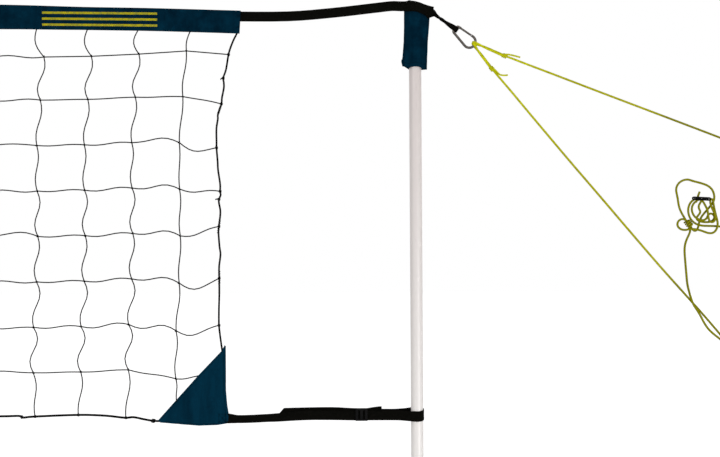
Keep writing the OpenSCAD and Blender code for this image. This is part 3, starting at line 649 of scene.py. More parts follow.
def makeSlackRope():
    start, route = ropeSize["start"], []
    for part in ("runIn", "firstRing", "innerCurl", "secondRing", "lowLoop", "leftLoop", "bigLoop", "tail"):
        route += slackSize[part]
    line = evenLine([start + mm(*p) for p in route])
    rope = piece("slackRope", ropeTube(line), "guy_rope", "net_frame")
    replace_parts(rope, "slack_run", "slack_hank", "slack_tail")
    way = Vector(slackSize["bundleWay"]).normalized()
    turns = wraps(start + mm(*slackSize["bundle"]), way, *ropeSize["tie"])
    tie = piece("slackTie", turns, "guy_rope", "net_frame")
    short = ropeTube(smooth([start + mm(*p) for p in slackSize["stub"]], 4))
    stub = piece("slackStub", short, "guy_rope", "net_frame")
    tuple(line[0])


def makeHitch():  # the turn round the hook's wire between the two eyes
    angle = math.radians(ropeSize["hitchAngle"])
    way = Vector((math.sin(angle), 0, -math.cos(angle)))
    turns = wraps(hookRim(ropeSize["hitchAngle"]), way, *ropeSize["hitch"])
    piece("hookHitch", turns, "guy_rope", "net_frame")


makeGuyRope("back", guyRopes["back"])
makeGuyRope("front", guyRopes["front"])
makeSlackRope()
makeHitch()
print("ropes made")


# The net: knotted twines that curl a little between their knots
netSize = {
    "columns": 59, "pitch": 0.100, "firstColumn": -0.4972, "rows": 8, "rowPitch": 0.0957, "firstRow": 2.137,
    "twine": 0.0025, "apart": 0.0011, "endFoot": 1.408, "patchEnd": (-455, 0, 1462.5), "headUnder": 0.010,
}
netKnotSize = {"steps": 10, "rise": 0.0004, "radius": 0.0017, "strand": 0.0022}
# How the net hangs near its ends, in millimetres: a number for each row, counted from the band down,
# for each length of an upright, or for each upright, counted from the end inwards
netHang = {
    "leans": [16, 8, 0, 0, 1, -2, -9, -10],  # towards the pole
    "lifts": [9, 8, 4, 3], "firstRowDrop": 5, "endFall": 0.42,
    "headLean": 29, "headStep": 8, "feet": [-9, -16, -16, -7],
    "bows": [-13, -3, 1, 0, 0, -1, 4, 1, 3], "swings": [1, 6, 4, 3.5, 6, 5, 6, 8, 3], "endShare": 0.35,
    "fade": 7, "farFoot": -6,
}
rowHang = {
    "endBows": [0, 1, -13, -3, -4, -16, -12, -2], "nextBows": [0, 0, 8, 5, 6, 6, 2, 0],
    "swings": [0, 0.5, 2.5, 3.5, 3.5, 3.5, 5, 1], "shares": [0.8, 1.3, 0.8, 0.5],
}
# Further in the twines hang by chance: the middle and the spread of each shift and curl, in millimetres
netChance = {
    "seed": 7, "knotAcross": (0, 3), "knotUp": (3, 3.2), "head": (4, 4), "foot": (0, 3),
    "firstBow": (-9, 4), "firstSwing": (1, 1), "bow": (-0.5, 2.2), "swing": (4.2, 1.5),
    "rowBow": (1, 1), "rowSwing": (0.6, 0.8), "perRow": 0.3,
}
chance = random.Random(netChance["seed"])


def fromEnd(column):  # a column's place counted from the nearer end, and which end that is
    last = netSize["columns"] - 1
    return (column, 1) if column <= last - column else (last - column, -1)


def columnX(column):
    return netSize["firstColumn"] - column * netSize["pitch"]


def knotPlaces():
    places, size = {}, netHang
    for column in range(netSize["columns"]):
        near, way = fromEnd(column)
        for row in range(netSize["rows"]):
            if near < len(size["lifts"]):
                dx, dz = size["leans"][row], size["lifts"][near]
            else:
                fade = math.exp((len(size["lifts"]) - near) / size["fade"])
                dx = size["leans"][row] * fade + chance.gauss(*netChance["knotAcross"])
                dz = chance.gauss(*netChance["knotUp"])
            if near == 0:  # the patch holds the end upright down
                dz -= size["endFall"] * row**2
            elif row == 0:
                dz -= size["firstRowDrop"]
            z = netSize["firstRow"] - row * netSize["rowPitch"]
            places[column, row] = Vector((columnX(column) + way * dx / 1000, 0, z + dz / 1000))
    return places


def curl(a, b, across, bow, swing, steps=8):  # from a to b, bowed and curled sideways, without b
    line = []
    for k in range(steps):
        t = k / steps
        off = bow * math.sin(math.pi * t) + swing * math.sin(2 * math.pi * t)
        line.append(a.lerp(b, t) + across * off / 1000)
    return line


bandSize = {"end": -0.368, "height": 0.048, "droop": 0.017, "reach": 0.580, "top": cadBox[1][2]}


def bandTop(x):
    out = min(-x, 2 * poleHalf + x)
    left = max(0, -bandSize["end"] + bandSize["reach"] - out) / bandSize["reach"]
    return bandSize["top"] - bandSize["droop"] * left**1.25


bottomLine = [(-3398, 1379), (-3100, 1380.5), (-2800, 1378.5), (-2300, 1380), (-1800, 1378), (-1400, 1380),
              (-1150, 1379), (-1000, 1380), (-878, 1379), (-838, 1379.5), (-829, 1376), (-806, 1378),
              (-713, 1381), (-656, 1379), (-616, 1374.5), (-597, 1375.5), (-575, 1371), (-554, 1367.5),
              (-530, 1367)]


def bottomZ(x):
    here = max(x, -2 * poleHalf - x) * 1000
    for (x0, z0), (x1, z1) in zip(bottomLine, bottomLine[1:]):
        if x0 <= here <= x1:
            return (z0 + (z1 - z0) * (here - x0) / (x1 - x0)) / 1000
    return bottomLine[0][1] / 1000


# Each knot's radius, length, number of turns and thickness
bottomRopeSize = {
    "diameter": 0.0047, "knot": (0.0025, 0.0035, 2, 0.0019),
    "splice": -0.832, "spliceKnot": (0.0026, 0.006, 2.5, 0.0022),
    "patch": -0.5555, "patchKnot": (0.0032, 0.006, 2.5, 0.0030),
}
sideCordSize = {
    "diameter": 0.0040, "foot": 0.0041, "footBelow": 1.66, "stub": 0.0026,
    "knot": (0.0023, 0.0042, 2.5, 0.0020), "wrap": (0.0021, 6, 0.0015),  # the wrap's length is its stretch's
    "line": [(-373, 2192), (-375, 2182), (-383, 2166), (-392, 2141), (-398, 2107), (-404, 2089),
             (-403, 2079), (-403, 2067), (-407, 2047), (-408, 2035), (-413, 2020), (-416, 2010),
             (-416, 2002), (-419, 1982), (-419, 1953), (-419, 1940), (-417, 1914), (-416, 1894),
             (-412, 1866), (-412, 1849), (-411, 1842), (-415, 1831), (-413, 1817), (-412, 1811),
             (-412, 1800), (-415, 1776), (-416, 1764), (-414, 1734), (-412, 1717), (-415, 1692),
             (-415, 1669), (-415, 1634), (-416, 1601), (-416, 1568), (-413, 1540), (-409, 1510)],
    "stubs": [[(-404, 2089), (-407, 2088), (-410, 2085)], [(-414, 1834), (-418, 1834), (-422, 1832.5)]],
    "rowKnots": [2138, 2034, 1942, 1850, 1776, 1667, 1568], "lumps": [2088, 1833],
    "wrapped": [(1790, 1762), (1683, 1655), (2030, 2012)],
}


def along(line, axis, value):  # the place on a line where it passes a value on one axis, and its way there
    for a, b in zip(line, line[1:]):
        if min(a[axis], b[axis]) <= value <= max(a[axis], b[axis]) and a[axis] != b[axis]:
            return a.lerp(b, (value - a[axis]) / (b[axis] - a[axis])), (b - a).normalized()
    return line[0], (line[1] - line[0]).normalized()


def sideLine():
    return smooth([mm(x, 0, z) for x, z in sideCordSize["line"]], 4)


def headShift(near):  # how far an upright's head stands towards the pole
    if near < len(netHang["feet"]):
        return netHang["headLean"] - netHang["headStep"] * near
    return chance.gauss(*netChance["head"])


def footShift(near):
    if near < len(netHang["feet"]):
        return netHang["feet"][near]
    return netHang["farFoot"] * math.exp(-near / netHang["fade"]) + chance.gauss(*netChance["foot"])


def uprightCurl(near, span):  # the bow and swing of one length of an upright
    size = netHang
    if near < len(size["feet"]):
        share = size["endShare"] if near == 0 else 1
        return size["bows"][span] * share, size["swings"][span] * share
    bow, swing = ("firstBow", "firstSwing") if span == 0 else ("bow", "swing")
    return chance.gauss(*netChance[bow]), chance.gauss(*netChance[swing])


def rowCurl(near, row):
    size = rowHang
    if near < len(size["shares"]):
        bow = (size["endBows"][row], size["nextBows"][row], 0, 0)[near]
        return bow, size["swings"][row] * size["shares"][near]
    more = row * netChance["perRow"]  # the lower rows hang looser
    middle, spread = netChance["rowBow"]
    bow = chance.gauss(middle, spread + more)
    middle, spread = netChance["rowSwing"]
    return bow, chance.gauss(middle + more, spread) * chance.choice((-1, 1))


def makeNetKnots(places):  # a few slanting turns of twine round each crossing
    size, ties = netKnotSize, []
    for place in places:
        way = Vector((chance.uniform(0.6, 1), chance.uniform(-0.4, 0.4), chance.choice((-1, 1)))).normalized()
        side = way.cross(Vector((0, 1, 0))).normalized()
        line = []
        for i in range(size["steps"] + 1):
            a = i * math.pi / 4
            out = math.cos(a) * side + math.sin(a) * way.cross(side)
            line.append(place + (i - size["steps"] / 2) * size["rise"] * way + size["radius"] * out)
        bm = bmesh.new()
        cordTube(bm, line, size["strand"], way, 5)
        ties.append(bm)
    piece("netKnots", joined(*ties), "black_twine", "net_frame")


def makeNet():
    knots, lean = knotPlaces(), netSize["apart"]
    columns, rows, feet = [], [], []
    for column in range(netSize["columns"]):
        near, way = fromEnd(column)
        x = columnX(column)
        headZ = bandTop(x) - bandSize["height"] + netSize["headUnder"]  # it goes up inside the band
        head = Vector((x + way * headShift(near) / 1000, 0, headZ))
        footX = x + way * footShift(near) / 1000
        feet.append(footX)
        foot = Vector((footX, 0, netSize["endFoot"] if near == 0 else bottomZ(footX)))
        stops = [head] + [knots[column, row] for row in range(netSize["rows"])] + [foot]
        line = []
        for span, (a, b) in enumerate(zip(stops, stops[1:])):
            line += curl(a, b, Vector((way, 0, 0)), *uprightCurl(near, span))
        columns.append([p + Vector((0, -lean, 0)) for p in line + [foot]])
    side = sideLine()
    ends = [along(side, 2, z / 1000)[0] for z in sideCordSize["rowKnots"]] + [mm(*netSize["patchEnd"])]
    for row in range(netSize["rows"]):
        stops = [ends[row]] + [knots[column, row] for column in range(netSize["columns"])]
        stops.append(Vector((-2 * poleHalf - ends[row].x, 0, ends[row].z)))
        line, last = [], len(stops) - 2
        for span, (a, b) in enumerate(zip(stops, stops[1:])):
            bow, swing = rowCurl(min(span, last - span), row)
            line += curl(a, b, Vector((0, 0, 1)), bow, swing if span <= last - span else -swing)
        rows.append([p + Vector((0, lean, 0)) for p in line + [stops[-1]]])
    for name, lines, node in (("netColumns", columns, "net_uprights"), ("netRows", rows, "net_levels")):
        tubes = []
        for line in lines:
            bm = bmesh.new()
            cordTube(bm, line, netSize["twine"], sides=6)
            tubes.append(bm)
        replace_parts(piece(name, joined(*tubes), "black_twine", "net_frame"), node)
    makeNetKnots(knots.values())
    return feet


uprightFeet = makeNet()
print("net made")


# Bottom rope, knotted to every upright, and the side cords
def makeEdgeCords():
    half, size = [mm(x, 0, z) for x, z in bottomLine], bottomRopeSize
    other = [Vector((-2 * poleHalf - p.x, 0, p.z)) for p in half[1:]]
    line = smooth(list(reversed(other)) + half, 4)
    bm = bmesh.new()
    cordTube(bm, line, size["diameter"])
    knots = []
    for column in range(netSize["columns"]):
        if fromEnd(column)[0]:
            place, away = along(line, 0, uprightFeet[column])
            knots.append(wraps(place, away, *size["knot"]))
    for spot in ("splice", "patch"):
        for x in (size[spot], -2 * poleHalf - size[spot]):
            place, away = along(line, 0, x)
            knots.append(wraps(place, away, *size[spot + "Knot"]))
    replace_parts(piece("bottomRope", bm, "cord", "net_frame"), "bottom_cord")
    piece("bottomRopeKnots", joined(*knots), "black_twine", "net_frame")

    size, line = sideCordSize, sideLine()
    cut = next(i for i, p in enumerate(line) if p.z < size["footBelow"])
    tubes = []
    for part, thick in ((line[:cut + 1], size["diameter"]), (line[cut - 1:], size["foot"])):
        bm = bmesh.new()
        cordTube(bm, part, thick, sides=10)
        tubes.append(bm)
    for stub in size["stubs"]:
        bm = bmesh.new()
        cordTube(bm, smooth([mm(x, -1.5, z) for x, z in stub], 3), size["stub"])
        tubes.append(bm)
    for z in size["rowKnots"] + size["lumps"]:
        place, away = along(line, 2, z / 1000)
        tubes.append(wraps(place, away, *size["knot"]))
    radius, turns, thick = size["wrap"]
    for top, foot in size["wrapped"]:
        place, away = along(line, 2, (top + foot) / 2000)
        tubes.append(wraps(place, away, radius, (top - foot) / 1000, turns, thick))
    cord = piece("sideCordRight", joined(*tubes), "cord", "net_frame")
    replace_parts(cord, "side_cord_right")
    leftTwin(cord, "sideCordLeft", "net_frame", ("side_cord_left",))


makeEdgeCords()
print("edge cords made")


# Seams: short stitches of thread, darker than the cloth, partly the thread's own colour and partly painted
# shade along the seams
stitchSize = {
    "pitch": 0.004, "fine": 0.0034, "length": 0.003, "thread": 0.0009,
    "shape": [(-0.5, 0.35), (-0.3, 0.95), (0.3, 0.95), (0.5, 0.35)],  # shares of its length and thickness
}


def stitchMesh():
    bm, size = bmesh.new(), stitchSize
    ring = circle(bm, size["thread"] / 2, 5)
    places = []
    for share, wide in size["shape"]:
        sunk = (1 - wide) * size["thread"] * 0.6
        place = Matrix.Translation((0, -sunk, share * size["length"]))
        places.append(place @ Matrix.Diagonal((wide, wide, 1, 1)))
    sweep(bm, ring, places, oneTurn=True)
    bmesh.ops.recalc_face_normals(bm, faces=bm.faces)
    mesh = bpy.data.meshes.new("stitch")
    bm.to_mesh(mesh)
    bm.free()
    return mesh


def stitches(bm, line, facing, pitch=stitchSize["fine"]):  # a row of stitches along a line, on its outer side
    stitch, left = stitchMesh(), 0
    for a, b in zip(line, line[1:]):
        way, length = (b - a).normalized(), (b - a).length
        out = (facing - facing.dot(way) * way).normalized()
        while left < length:
            turn = Matrix((out.cross(way), out, way)).transposed().to_4x4()
            place = Matrix.Translation(a + left * way) @ turn
            stitch.transform(place)
            bm.from_mesh(stitch)
            stitch.transform(place.inverted())
            left += pitch
        left -= length
    bpy.data.meshes.remove(stitch)


# The band: cloth folded over the head webbing, sewn along its foot and across its ends
bandFold = [(0, 0), (1.9, -0.15), (2.9, -0.9), (3.3, -3), (3.35, -10), (3.35, -18), (3.25, -26), (3.1, -34),
            (2.9, -40), (2.75, -44), (2.75, -46.5), (2.55, -48)]
bandHang = {
    "endLean": 0.062, "endFrom": 0.0015, "endReach": 0.06,  # the cut ends slant
    "ripples": [(7, 10, 3, 0.0005), (38, 30, 1, 0.00028)],  # how often along, down and by face, and how high
    "sag": 0.0034, "sagFrom": 0.70, "sagOver": 0.17, "dip": 0.0013, "dipWidth": 0.10,
}
bandSeams = {
    "cloth": 1.0, "step": 0.011, "foot": 0.0442, "proud": 0.0001,
    "across": [-0.3739, -0.3855, -0.4023], "acrossFrom": 0.0035, "acrossStep": 0.003, "acrossSteps": 13,
    "webbing": (0.020, 0.0013), "webbingEnd": -0.3925, "webbingDrop": 0.0125,
}


def bandDepth(depth):  # how far the band's face stands out at a depth below its top
    for (y0, z0), (y1, z1) in zip(bandFold, bandFold[1:]):
        if z1 <= -depth <= z0:
            return (y0 + (y1 - y0) * (depth + z0) / (z0 - z1)) / 1000
    return bandFold[-1][0] / 1000


def bandMove(co):  # slanted ends, soft waves and creases
    x, y, z = co
    size, out = bandHang, min(-x, 2 * poleHalf + x)
    way = 1 if x > -poleHalf else -1
    depth = bandTop(x) - z
    end = max(0, 1 - (out + bandSize["end"]) / size["endReach"])
    face = 1 if y > 0 else -1
    wave = 0
    for often, down, apart, high in size["ripples"]:
        wave += noise.noise(Vector((x * often, depth * down, face * apart))) * high
    further = out - size["sagFrom"]
    drop = noise.noise(Vector((x * 3.1, 5, 0))) * 0.0004 - size["sag"] * clamp(further / size["sagOver"])
    x += way * end * (size["endFrom"] - depth * size["endLean"])
    z -= size["dip"] * math.exp(-((further / size["dipWidth"]) ** 2))
    return Vector((x, y + wave * min(1, depth / 0.006), z + drop * min(1, depth / 0.03)))


def bandSpot(x, face, deep):  # a place on the band's face, at a depth below its top
    return bandMove(Vector((x, face * (bandDepth(deep) + bandSeams["proud"]), bandTop(x) - deep)))


def makeBand():
    cloth = bandSeams["cloth"]
    inner = [(0, -cloth)] + [(max(y - cloth, 0.3), z - cloth * 0.6) for y, z in bandFold[1:-1]]
    inner.append((bandFold[-1][0] - cloth, bandFold[-1][1]))
    outline = bandFold + inner[:0:-1]
    outline += [(-y, z) for y, z in inner[1:]] + [(-y, z) for y, z in bandFold[:0:-1]]
    outline.insert(len(bandFold) + len(inner) - 1, inner[0])
    bm = bmesh.new()
    ring = [bm.verts.new((y / 1000, z / 1000, 0)) for y, z in outline]
    turn = Matrix(((0, 0, 1), (1, 0, 0), (0, 1, 0))).to_4x4()
    x, stations = bandSize["end"], []
    last = -2 * poleHalf - x
    count = round((x - last) / bandSeams["step"])
    for i in range(count + 1):
        here = x + (last - x) * i / count
        stations.append(Matrix.Translation((here, 0, bandTop(here))) @ turn)
    first, end = sweep(bm, ring, stations, ends=False)
    for loop in (first, end):
        bmesh.ops.contextual_create(bm, geom=loop)
    bmesh.ops.triangulate(bm, faces=[f for f in bm.faces if len(f.verts) > 4])
    for v in bm.verts:
        v.co = bandMove(v.co)
    band = piece("topBand", bm, "band", "net_frame", 60)
    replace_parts(band, "top_band")
    seams = bmesh.new()
    for face in (-1, 1):
        foot = []
        for i in range(count // 3 + 1):
            here = x - 0.002 + (last - x + 0.004) * i / (count // 3)
            foot.append(bandSpot(here, face, bandSeams["foot"]))
        stitches(seams, foot, Vector((0, face, 0)), stitchSize["pitch"])
        for place in bandSeams["across"]:
            for here in (place, -2 * poleHalf - place):
                row = []
                for k in range(bandSeams["acrossSteps"] + 1):
                    row.append(bandSpot(here, face, bandSeams["acrossFrom"] + k * bandSeams["acrossStep"]))
                stitches(seams, row, Vector((0, face, 0)))
    seams = piece("bandSeams", seams, "thread", "net_frame")
    bm = bmesh.new()
    line, steps, end = [], 60, bandSeams["webbingEnd"]
    for i in range(steps + 1):
        here = end + (-2 * poleHalf - 2 * end) * i / steps
        line.append(Vector((here, 0, bandTop(here) - bandSeams["webbingDrop"])))
    sweep(bm, strip(bm, *bandSeams["webbing"]), frames(line, Vector((0, 0, 1))))
    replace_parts(piece("headWebbing", bm, "black_webbing", "net_frame"), "head_webbing")


# Sleeve over each pole's top
sleeveSize = {
    "foot": 2.1040, "top": 2.2418, "radius": 0.0145, "cloth": 0.0012, "hem": 0.011, "step": 0.004,
    "sides": 64, "meanRadius": 0.0193, "seamInside": 0.004, "hemSeam": 0.0095,
    "closing": [(2.2427, 0.95), (2.2433, 0.7), (2.2437, 0.3), (2.2438, 0.08)],
    "edges": [(2104, -27, 25), (2112, -28.5, 25), (2119, -29.5, 25.5), (2125, -27, 25.5), (2144, -25.5, 26.5),
              (2162, -24, 27), (2178, -23.5, 28.5), (2196, -23, 30), (2211, -23, 31), (2245, -22.5, 30.5)],
    "creases": [(-0.0165, 0.0022, 0.0010), (-0.0065, 0.0018, 0.0006), (0.0185, 0.0025, 0.0007)],
    "creasesBelow": (2.21, 0.04), "heldAbove": (2.205, 0.012),  # by the strap
    "proud": 0.0008, "hemProud": 0.0004,
    "flap": -0.013, "flapRise": 0.0015, "flapMore": 0.0055, "flapReach": 0.010,  # the part beside the tube
    "hemArch": 0.0046, "backArch": 0.4, "archHeight": 0.030,
    "slope": 0.38, "slopeFrom": (0.013, 2.215), "slopeHeight": 0.0268,
    "corner": 0.005, "cornerFrom": (-0.012, 2.23), "cornerReach": (0.008, 0.012),
}


def sleeveEdges(z):  # the left and right edges at a height
    edges = sleeveSize["edges"]
    for (z0, *low), (z1, *high) in zip(edges, edges[1:]):
        if z * 1000 <= z1:
            share = max(0, (z * 1000 - z0) / (z1 - z0))
            return [(a + (b - a) * share) / 1000 for a, b in zip(low, high)]
    return [edge / 1000 for edge in edges[-1][1:]]


def sleeveFace(x, z):  # half the sleeve's depth at a place across it
    radius, away = sleeveSize["radius"], abs(x)
    left, right = sleeveEdges(z)
    tip = right if x > 0 else -left
    turn = math.acos(radius / tip)
    if away <= radius * math.cos(turn):
        return math.sqrt(radius**2 - away**2)
    slope = radius * math.sin(turn) / (tip - radius * math.cos(turn))
    return max((tip - away) * slope, 0) + 0.0013 * min(1, away / 0.02)


def sleevePlace(x, z, face, share=1):  # a place on the cloth, with its creases and its uneven hem
    size = sleeveSize
    crease = noise.noise(Vector((x * 75, z * 11, face * 4))) * 0.0009
    crease += noise.noise(Vector((x * 30 + 3, z * 34, face))) * 0.0007
    until, over = size["creasesBelow"]
    for middle, width, depth in size["creases"]:
        crease -= depth * math.exp(-(((x - middle) / width) ** 2)) * clamp((until - z) / over)
    above, over = size["heldAbove"]
    held = clamp((z - above) / over)
    crease = (crease + size["proud"]) * (1 - 0.8 * held)
    if z < size["foot"] + size["hem"]:
        crease += size["hemProud"]
    if x < size["flap"]:
        rise = size["flapRise"] + size["flapMore"] * min(1, (size["flap"] - x) / size["flapReach"])
    else:
        arch = size["hemArch"] * math.sqrt(max(0, 1 - (x / size["radius"]) ** 2))
        rise = arch * (1 if face < 0 else size["backArch"])
    lift = rise * max(0, 1 - (z - size["foot"]) / size["archHeight"])
    fromX, fromZ = size["slopeFrom"]  # the top slopes down on its outer side
    lift -= max(0, x - fromX) * size["slope"] * max(0, (z - fromZ) / size["slopeHeight"])
    lift += noise.noise(Vector((x * 45, 2, face))) * 0.0004 * share
    fromX, fromZ = size["cornerFrom"]  # and stands up towards the net
    wide, tall = size["cornerReach"]
    lift += size["corner"] * math.exp(-(((x - fromX) / wide) ** 2)) * max(0, (z - fromZ) / tall)
    return Vector((x, face * (sleeveFace(x, z) + crease) * share, z + lift))


def makeSleeve():
    size, bm = sleeveSize, bmesh.new()
    tall = size["top"] - size["foot"]
    count = round(tall / size["step"])
    levels = [(size["foot"] + tall * i / count, 1) for i in range(count + 1)] + size["closing"]
    sweep(bm, circle(bm, 1, size["sides"]), [Matrix.Translation((0, 0, z)) for z, _ in levels], ends=False)
    uv, around = bm.loops.layers.uv["flat"], 2 * math.pi * size["meanRadius"]
    for face in bm.faces:
        for loop in face.loops:
            co = loop.vert.co
            loop[uv].uv = (co.z, (math.atan2(co.y, co.x) / (2 * math.pi) % 1) * around)
        if max(loop[uv].uv.y for loop in face.loops) > 0.9 * around:  # the face that closes the round
            for loop in face.loops:
                if loop[uv].uv.y < 0.5 * around:
                    loop[uv].uv.y += around
    close = {round(z, 6): share for z, share in levels}
    top = []
    for v in bm.verts:
        angle, z = math.atan2(v.co.y, v.co.x), v.co.z
        share = close[min(close, key=lambda level: abs(level - z))]
        left, right = sleeveEdges(z)
        x = (left + right) / 2 + (right - left) / 2 * math.cos(angle) * (1 if share == 1 else 0.985)
        v.co = sleevePlace(x, z, 1 if math.sin(angle) > 0 else -1, share)
        if abs(math.sin(angle)) < 0.01:
            v.co.y = 0
        if share == size["closing"][-1][1]:
            top.append(v)
    bmesh.ops.contextual_create(bm, geom=top)
    sleeve = piece("sleeveRight", bm, "navy_cloth", "net_frame", angle=70)
    wall = sleeve.modifiers.new("cloth", "SOLIDIFY")
    wall.thickness, wall.offset = size["cloth"], -1
    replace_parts(sleeve, "pole_sleeve_right")
    seams = bmesh.new()
    for face in (-1, 1):
        hem = [sleevePlace(-0.024 + k * 0.0019, size["foot"] + size["hemSeam"], face) for k in range(26)]
        rows = [(hem, 0)]
        for side in (-1, 1):
            row = []
            for k in range(24):
                z = size["foot"] + 0.002 + k * 0.0045
                edge = sleeveEdges(z)[0 if side < 0 else 1]
                row.append(sleevePlace(edge - side * size["seamInside"], z, face))
            rows.append((row, side))
        for row, side in rows:
            facing = Vector((side * 0.4, face, 0)).normalized()
            stitches(seams, [p + 0.0001 * facing for p in row], facing)
    seams = piece("sleeveSeamsRight", seams, "thread", "net_frame")
    twin = leftTwin(sleeve, "sleeveLeft", "net_frame", ("pole_sleeve_left",))
    twinSeams = leftTwin(seams, "sleeveSeamsLeft", "net_frame")


# Corner patches: two layers of cloth round the cords' ends
patchOutline = [(-397, 1362), (-421, 1358), (-459, 1357), (-496, 1360), (-540, 1364), (-547, 1367),
                (-462, 1461), (-411, 1514), (-407, 1520), (-404.5, 1526), (-402, 1524), (-402, 1430),
                (-399.5, 1400), (-396.7, 1382)]
patchSeams = {
    "cell": 0.0055, "cuts": (-0.549, -0.396, 1.3555, 1.5265), "box": (-417, -402.5, 1364.5, 1381.5),
    "rows": [
        [(-402, 1366), (-421, 1362), (-459, 1361), (-496, 1364), (-532, 1367)],
        [(-537, 1373), (-459, 1458), (-412, 1508)],
        [(-407, 1510), (-407, 1430), (-404, 1402), (-402, 1366)],
    ],
}


# Half its thickness at the edge and further in, and the ridges over the strap and the rope inside it
patchSize = {
    "edge": 0.0013, "more": 0.0013, "edgeReach": 0.006, "ridge": 0.0009,
    "strap": (1.3722, 0.011), "strapFrom": (-0.420, 0.006),
    "rope": (1.368, 0.004), "ropeFrom": (-0.520, 0.010),
}


def patchFace(x, z):  # how far the patch's faces stand out from its middle
    size = patchSize
    thick = size["edge"] + size["more"] * min(1, patchInset(x, z) / size["edgeReach"])
    (height, wide), (start, over) = size["strap"], size["strapFrom"]
    strap = math.exp(-(((z - height) / wide) ** 4)) * clamp((x - start) / over)
    (height, wide), (start, over) = size["rope"], size["ropeFrom"]
    rope = math.exp(-(((z - height) / wide) ** 2)) * clamp((start - x) / over)
    return thick + (strap + rope) * size["ridge"]


def patchInset(x, z):  # distance inside the patch's outline
    here, near = Vector((x * 1000, z * 1000)), 100
    for a, b in zip(patchOutline, patchOutline[1:] + patchOutline[:1]):
        a, b = Vector(a), Vector(b)
        t = clamp((here - a).dot(b - a) / (b - a).length_squared)
        near = min(near, (here - a.lerp(b, t)).length)
    return near / 1000


def patchBend(x, z):  # creases that both layers share
    fade = min(1, patchInset(x, z) / 0.015)
    pull = noise.noise(Vector(((x + z * 0.8) * 34, (x - z) * 9, 1))) * 0.0015
    return pull * fade + noise.noise(Vector((x * 60, z * 60, 7))) * 0.0004


def makePatch():
    bm = bmesh.new()
    uv = bm.loops.layers.uv.new("flat")
    face = bm.faces.new([bm.verts.new((x / 1000, 0, z / 1000)) for x, z in patchOutline])
    bmesh.ops.triangulate(bm, faces=[face])
    cell, (left, right, low, high) = patchSeams["cell"], patchSeams["cuts"]
    for axis, start, end in ((Vector((1, 0, 0)), left, right), (Vector((0, 0, 1)), low, high)):
        for k in range(1, int((end - start) / cell)):
            whole, place = bm.verts[:] + bm.edges[:] + bm.faces[:], axis * (start + k * cell)
            bmesh.ops.bisect_plane(bm, geom=whole, dist=0.00001, plane_co=place, plane_no=axis)
    bmesh.ops.dissolve_degenerate(bm, dist=0.0004, edges=bm.edges)
    bmesh.ops.triangulate(bm, faces=bm.faces)
    front = set(bm.verts)
    bmesh.ops.extrude_face_region(bm, geom=bm.faces[:])
    for v in bm.verts:
        side = -1 if v in front else 1
        v.co.y = side * patchFace(v.co.x, v.co.z) + patchBend(v.co.x, v.co.z)
    for f in bm.faces:
        for loop in f.loops:
            loop[uv].uv = (loop.vert.co.x, loop.vert.co.z)
    patch = piece("patchRight", bm, "navy_cloth", "net_frame", angle=60)
    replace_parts(patch, "corner_patch_right")
    seams = bmesh.new()
    left, right, low, high = patchSeams["box"]
    corners = [(left, low), (right, low), (right, high), (left, high)]
    box = [corners + corners[:1], corners[0::2], [corners[3], corners[1]]]
    rows = patchSeams["rows"] + box
    for face in (-1, 1):
        for row in rows:
            line = [mm(x, 0, z) for x, z in row]
            fine = []
            for a, b in zip(line, line[1:]):
                steps = max(1, round((b - a).length / 0.006))
                fine += [a.lerp(b, k / steps) for k in range(steps)]
            fine.append(line[-1])
            for p in fine:
                p.y = face * (patchFace(p.x, p.z) + 0.0001) + patchBend(p.x, p.z)
            stitches(seams, fine, Vector((0, face, 0)))
    seams = piece("patchSeamsRight", seams, "thread", "net_frame")
    twin = leftTwin(patch, "patchLeft", "net_frame", ("corner_patch_left",))
    twinSeams = leftTwin(seams, "patchSeamsLeft", "net_frame")


# Webbing straps between the net and each pole, and the tails that hold the hooks
strapSize = {"width": 0.021, "thickness": 0.0013, "tailEnd": mm(35.5, -2, 2222.4)}
topStrapLine = [(-392, 0, 2218), (-268, 0, 2217.5), (-171, -0.4, 2224.5), (-88, -0.9, 2233.5),
                (-50, -1.4, 2237.5), (-34, -2, 2237)]
# On the sleeve two layers are sewn across each other, the long one below
sleeveLayers = [
    [(-20, 2236), (5, 2233.5), (14, 2230.5), (25, 2228), (38, 2225)],
    [(-19, 2236), (-10, 2236), (8, 2232), (25, 2226), (36, 2216.5)],
]
bottomStrapLine = {
    "front": [(-413, -1.65, 1372.5), (-396, -1.65, 1372), (-377, -1.65, 1370.5), (-347, -1.65, 1371),
              (-315, -1.65, 1372.5), (-293, -1.65, 1373.5), (-237, -1.65, 1377.5), (-180, -1.65, 1377.5),
              (-131, -1.65, 1376.5), (-92, -1.7, 1376.5), (-42, -3.6, 1376.5), (-24, -8.4, 1376)],
    "widths": [21, 21, 17, 17, 17, 18, 20.5],
    "back": [(-24, 8.6, 1380), (-42, 4.1, 1379.5), (-60, 2.4, 1379.5), (-104, 1.65, 1380.5),
             (-142, 1.65, 1382), (-180, 1.9, 1384), (-240, 1.9, 1383.5), (-290, 1.9, 1382.5)],
    "end": [(-112, 3.2, 1380), (-101, 3.4, 1381.5), (-84, 3.5, 1384), (-71, 3.5, 1384.5)],
    "radius": 13.95, "height": 1378.5, "tilt": 3, "poleWidth": 22.5, "poleFrom": 0.006, "poleReach": 0.024,
    "cut": (-0.289, 1.3821, 0.9), "endCut": (0.003, 1.3739, 0.5),  # where, about what height, how slanted
}
tails = {
    "right": {
        "line": [(0, 0, 0), (6, 1.6, -2), (12, 2.2, -7), (24, 2, -15.5), (35, 2, -23.5)],
        "turn": 35, "widths": [20, 7.5, 5.8, 5.4, 8.5, 11], "loop": 6.2,
    },
    "left": {
        "line": [(0, 0, 0), (5, 1.8, -1.6), (11, 2, -5), (17, 2, -11.5), (22, 2, -21.5), (24.5, 2, -35.5)],
        "turn": 90, "widths": [20, 7.5, 5.8, 5.4, 6.4, 7.2], "loop": 3.5,
    },
}


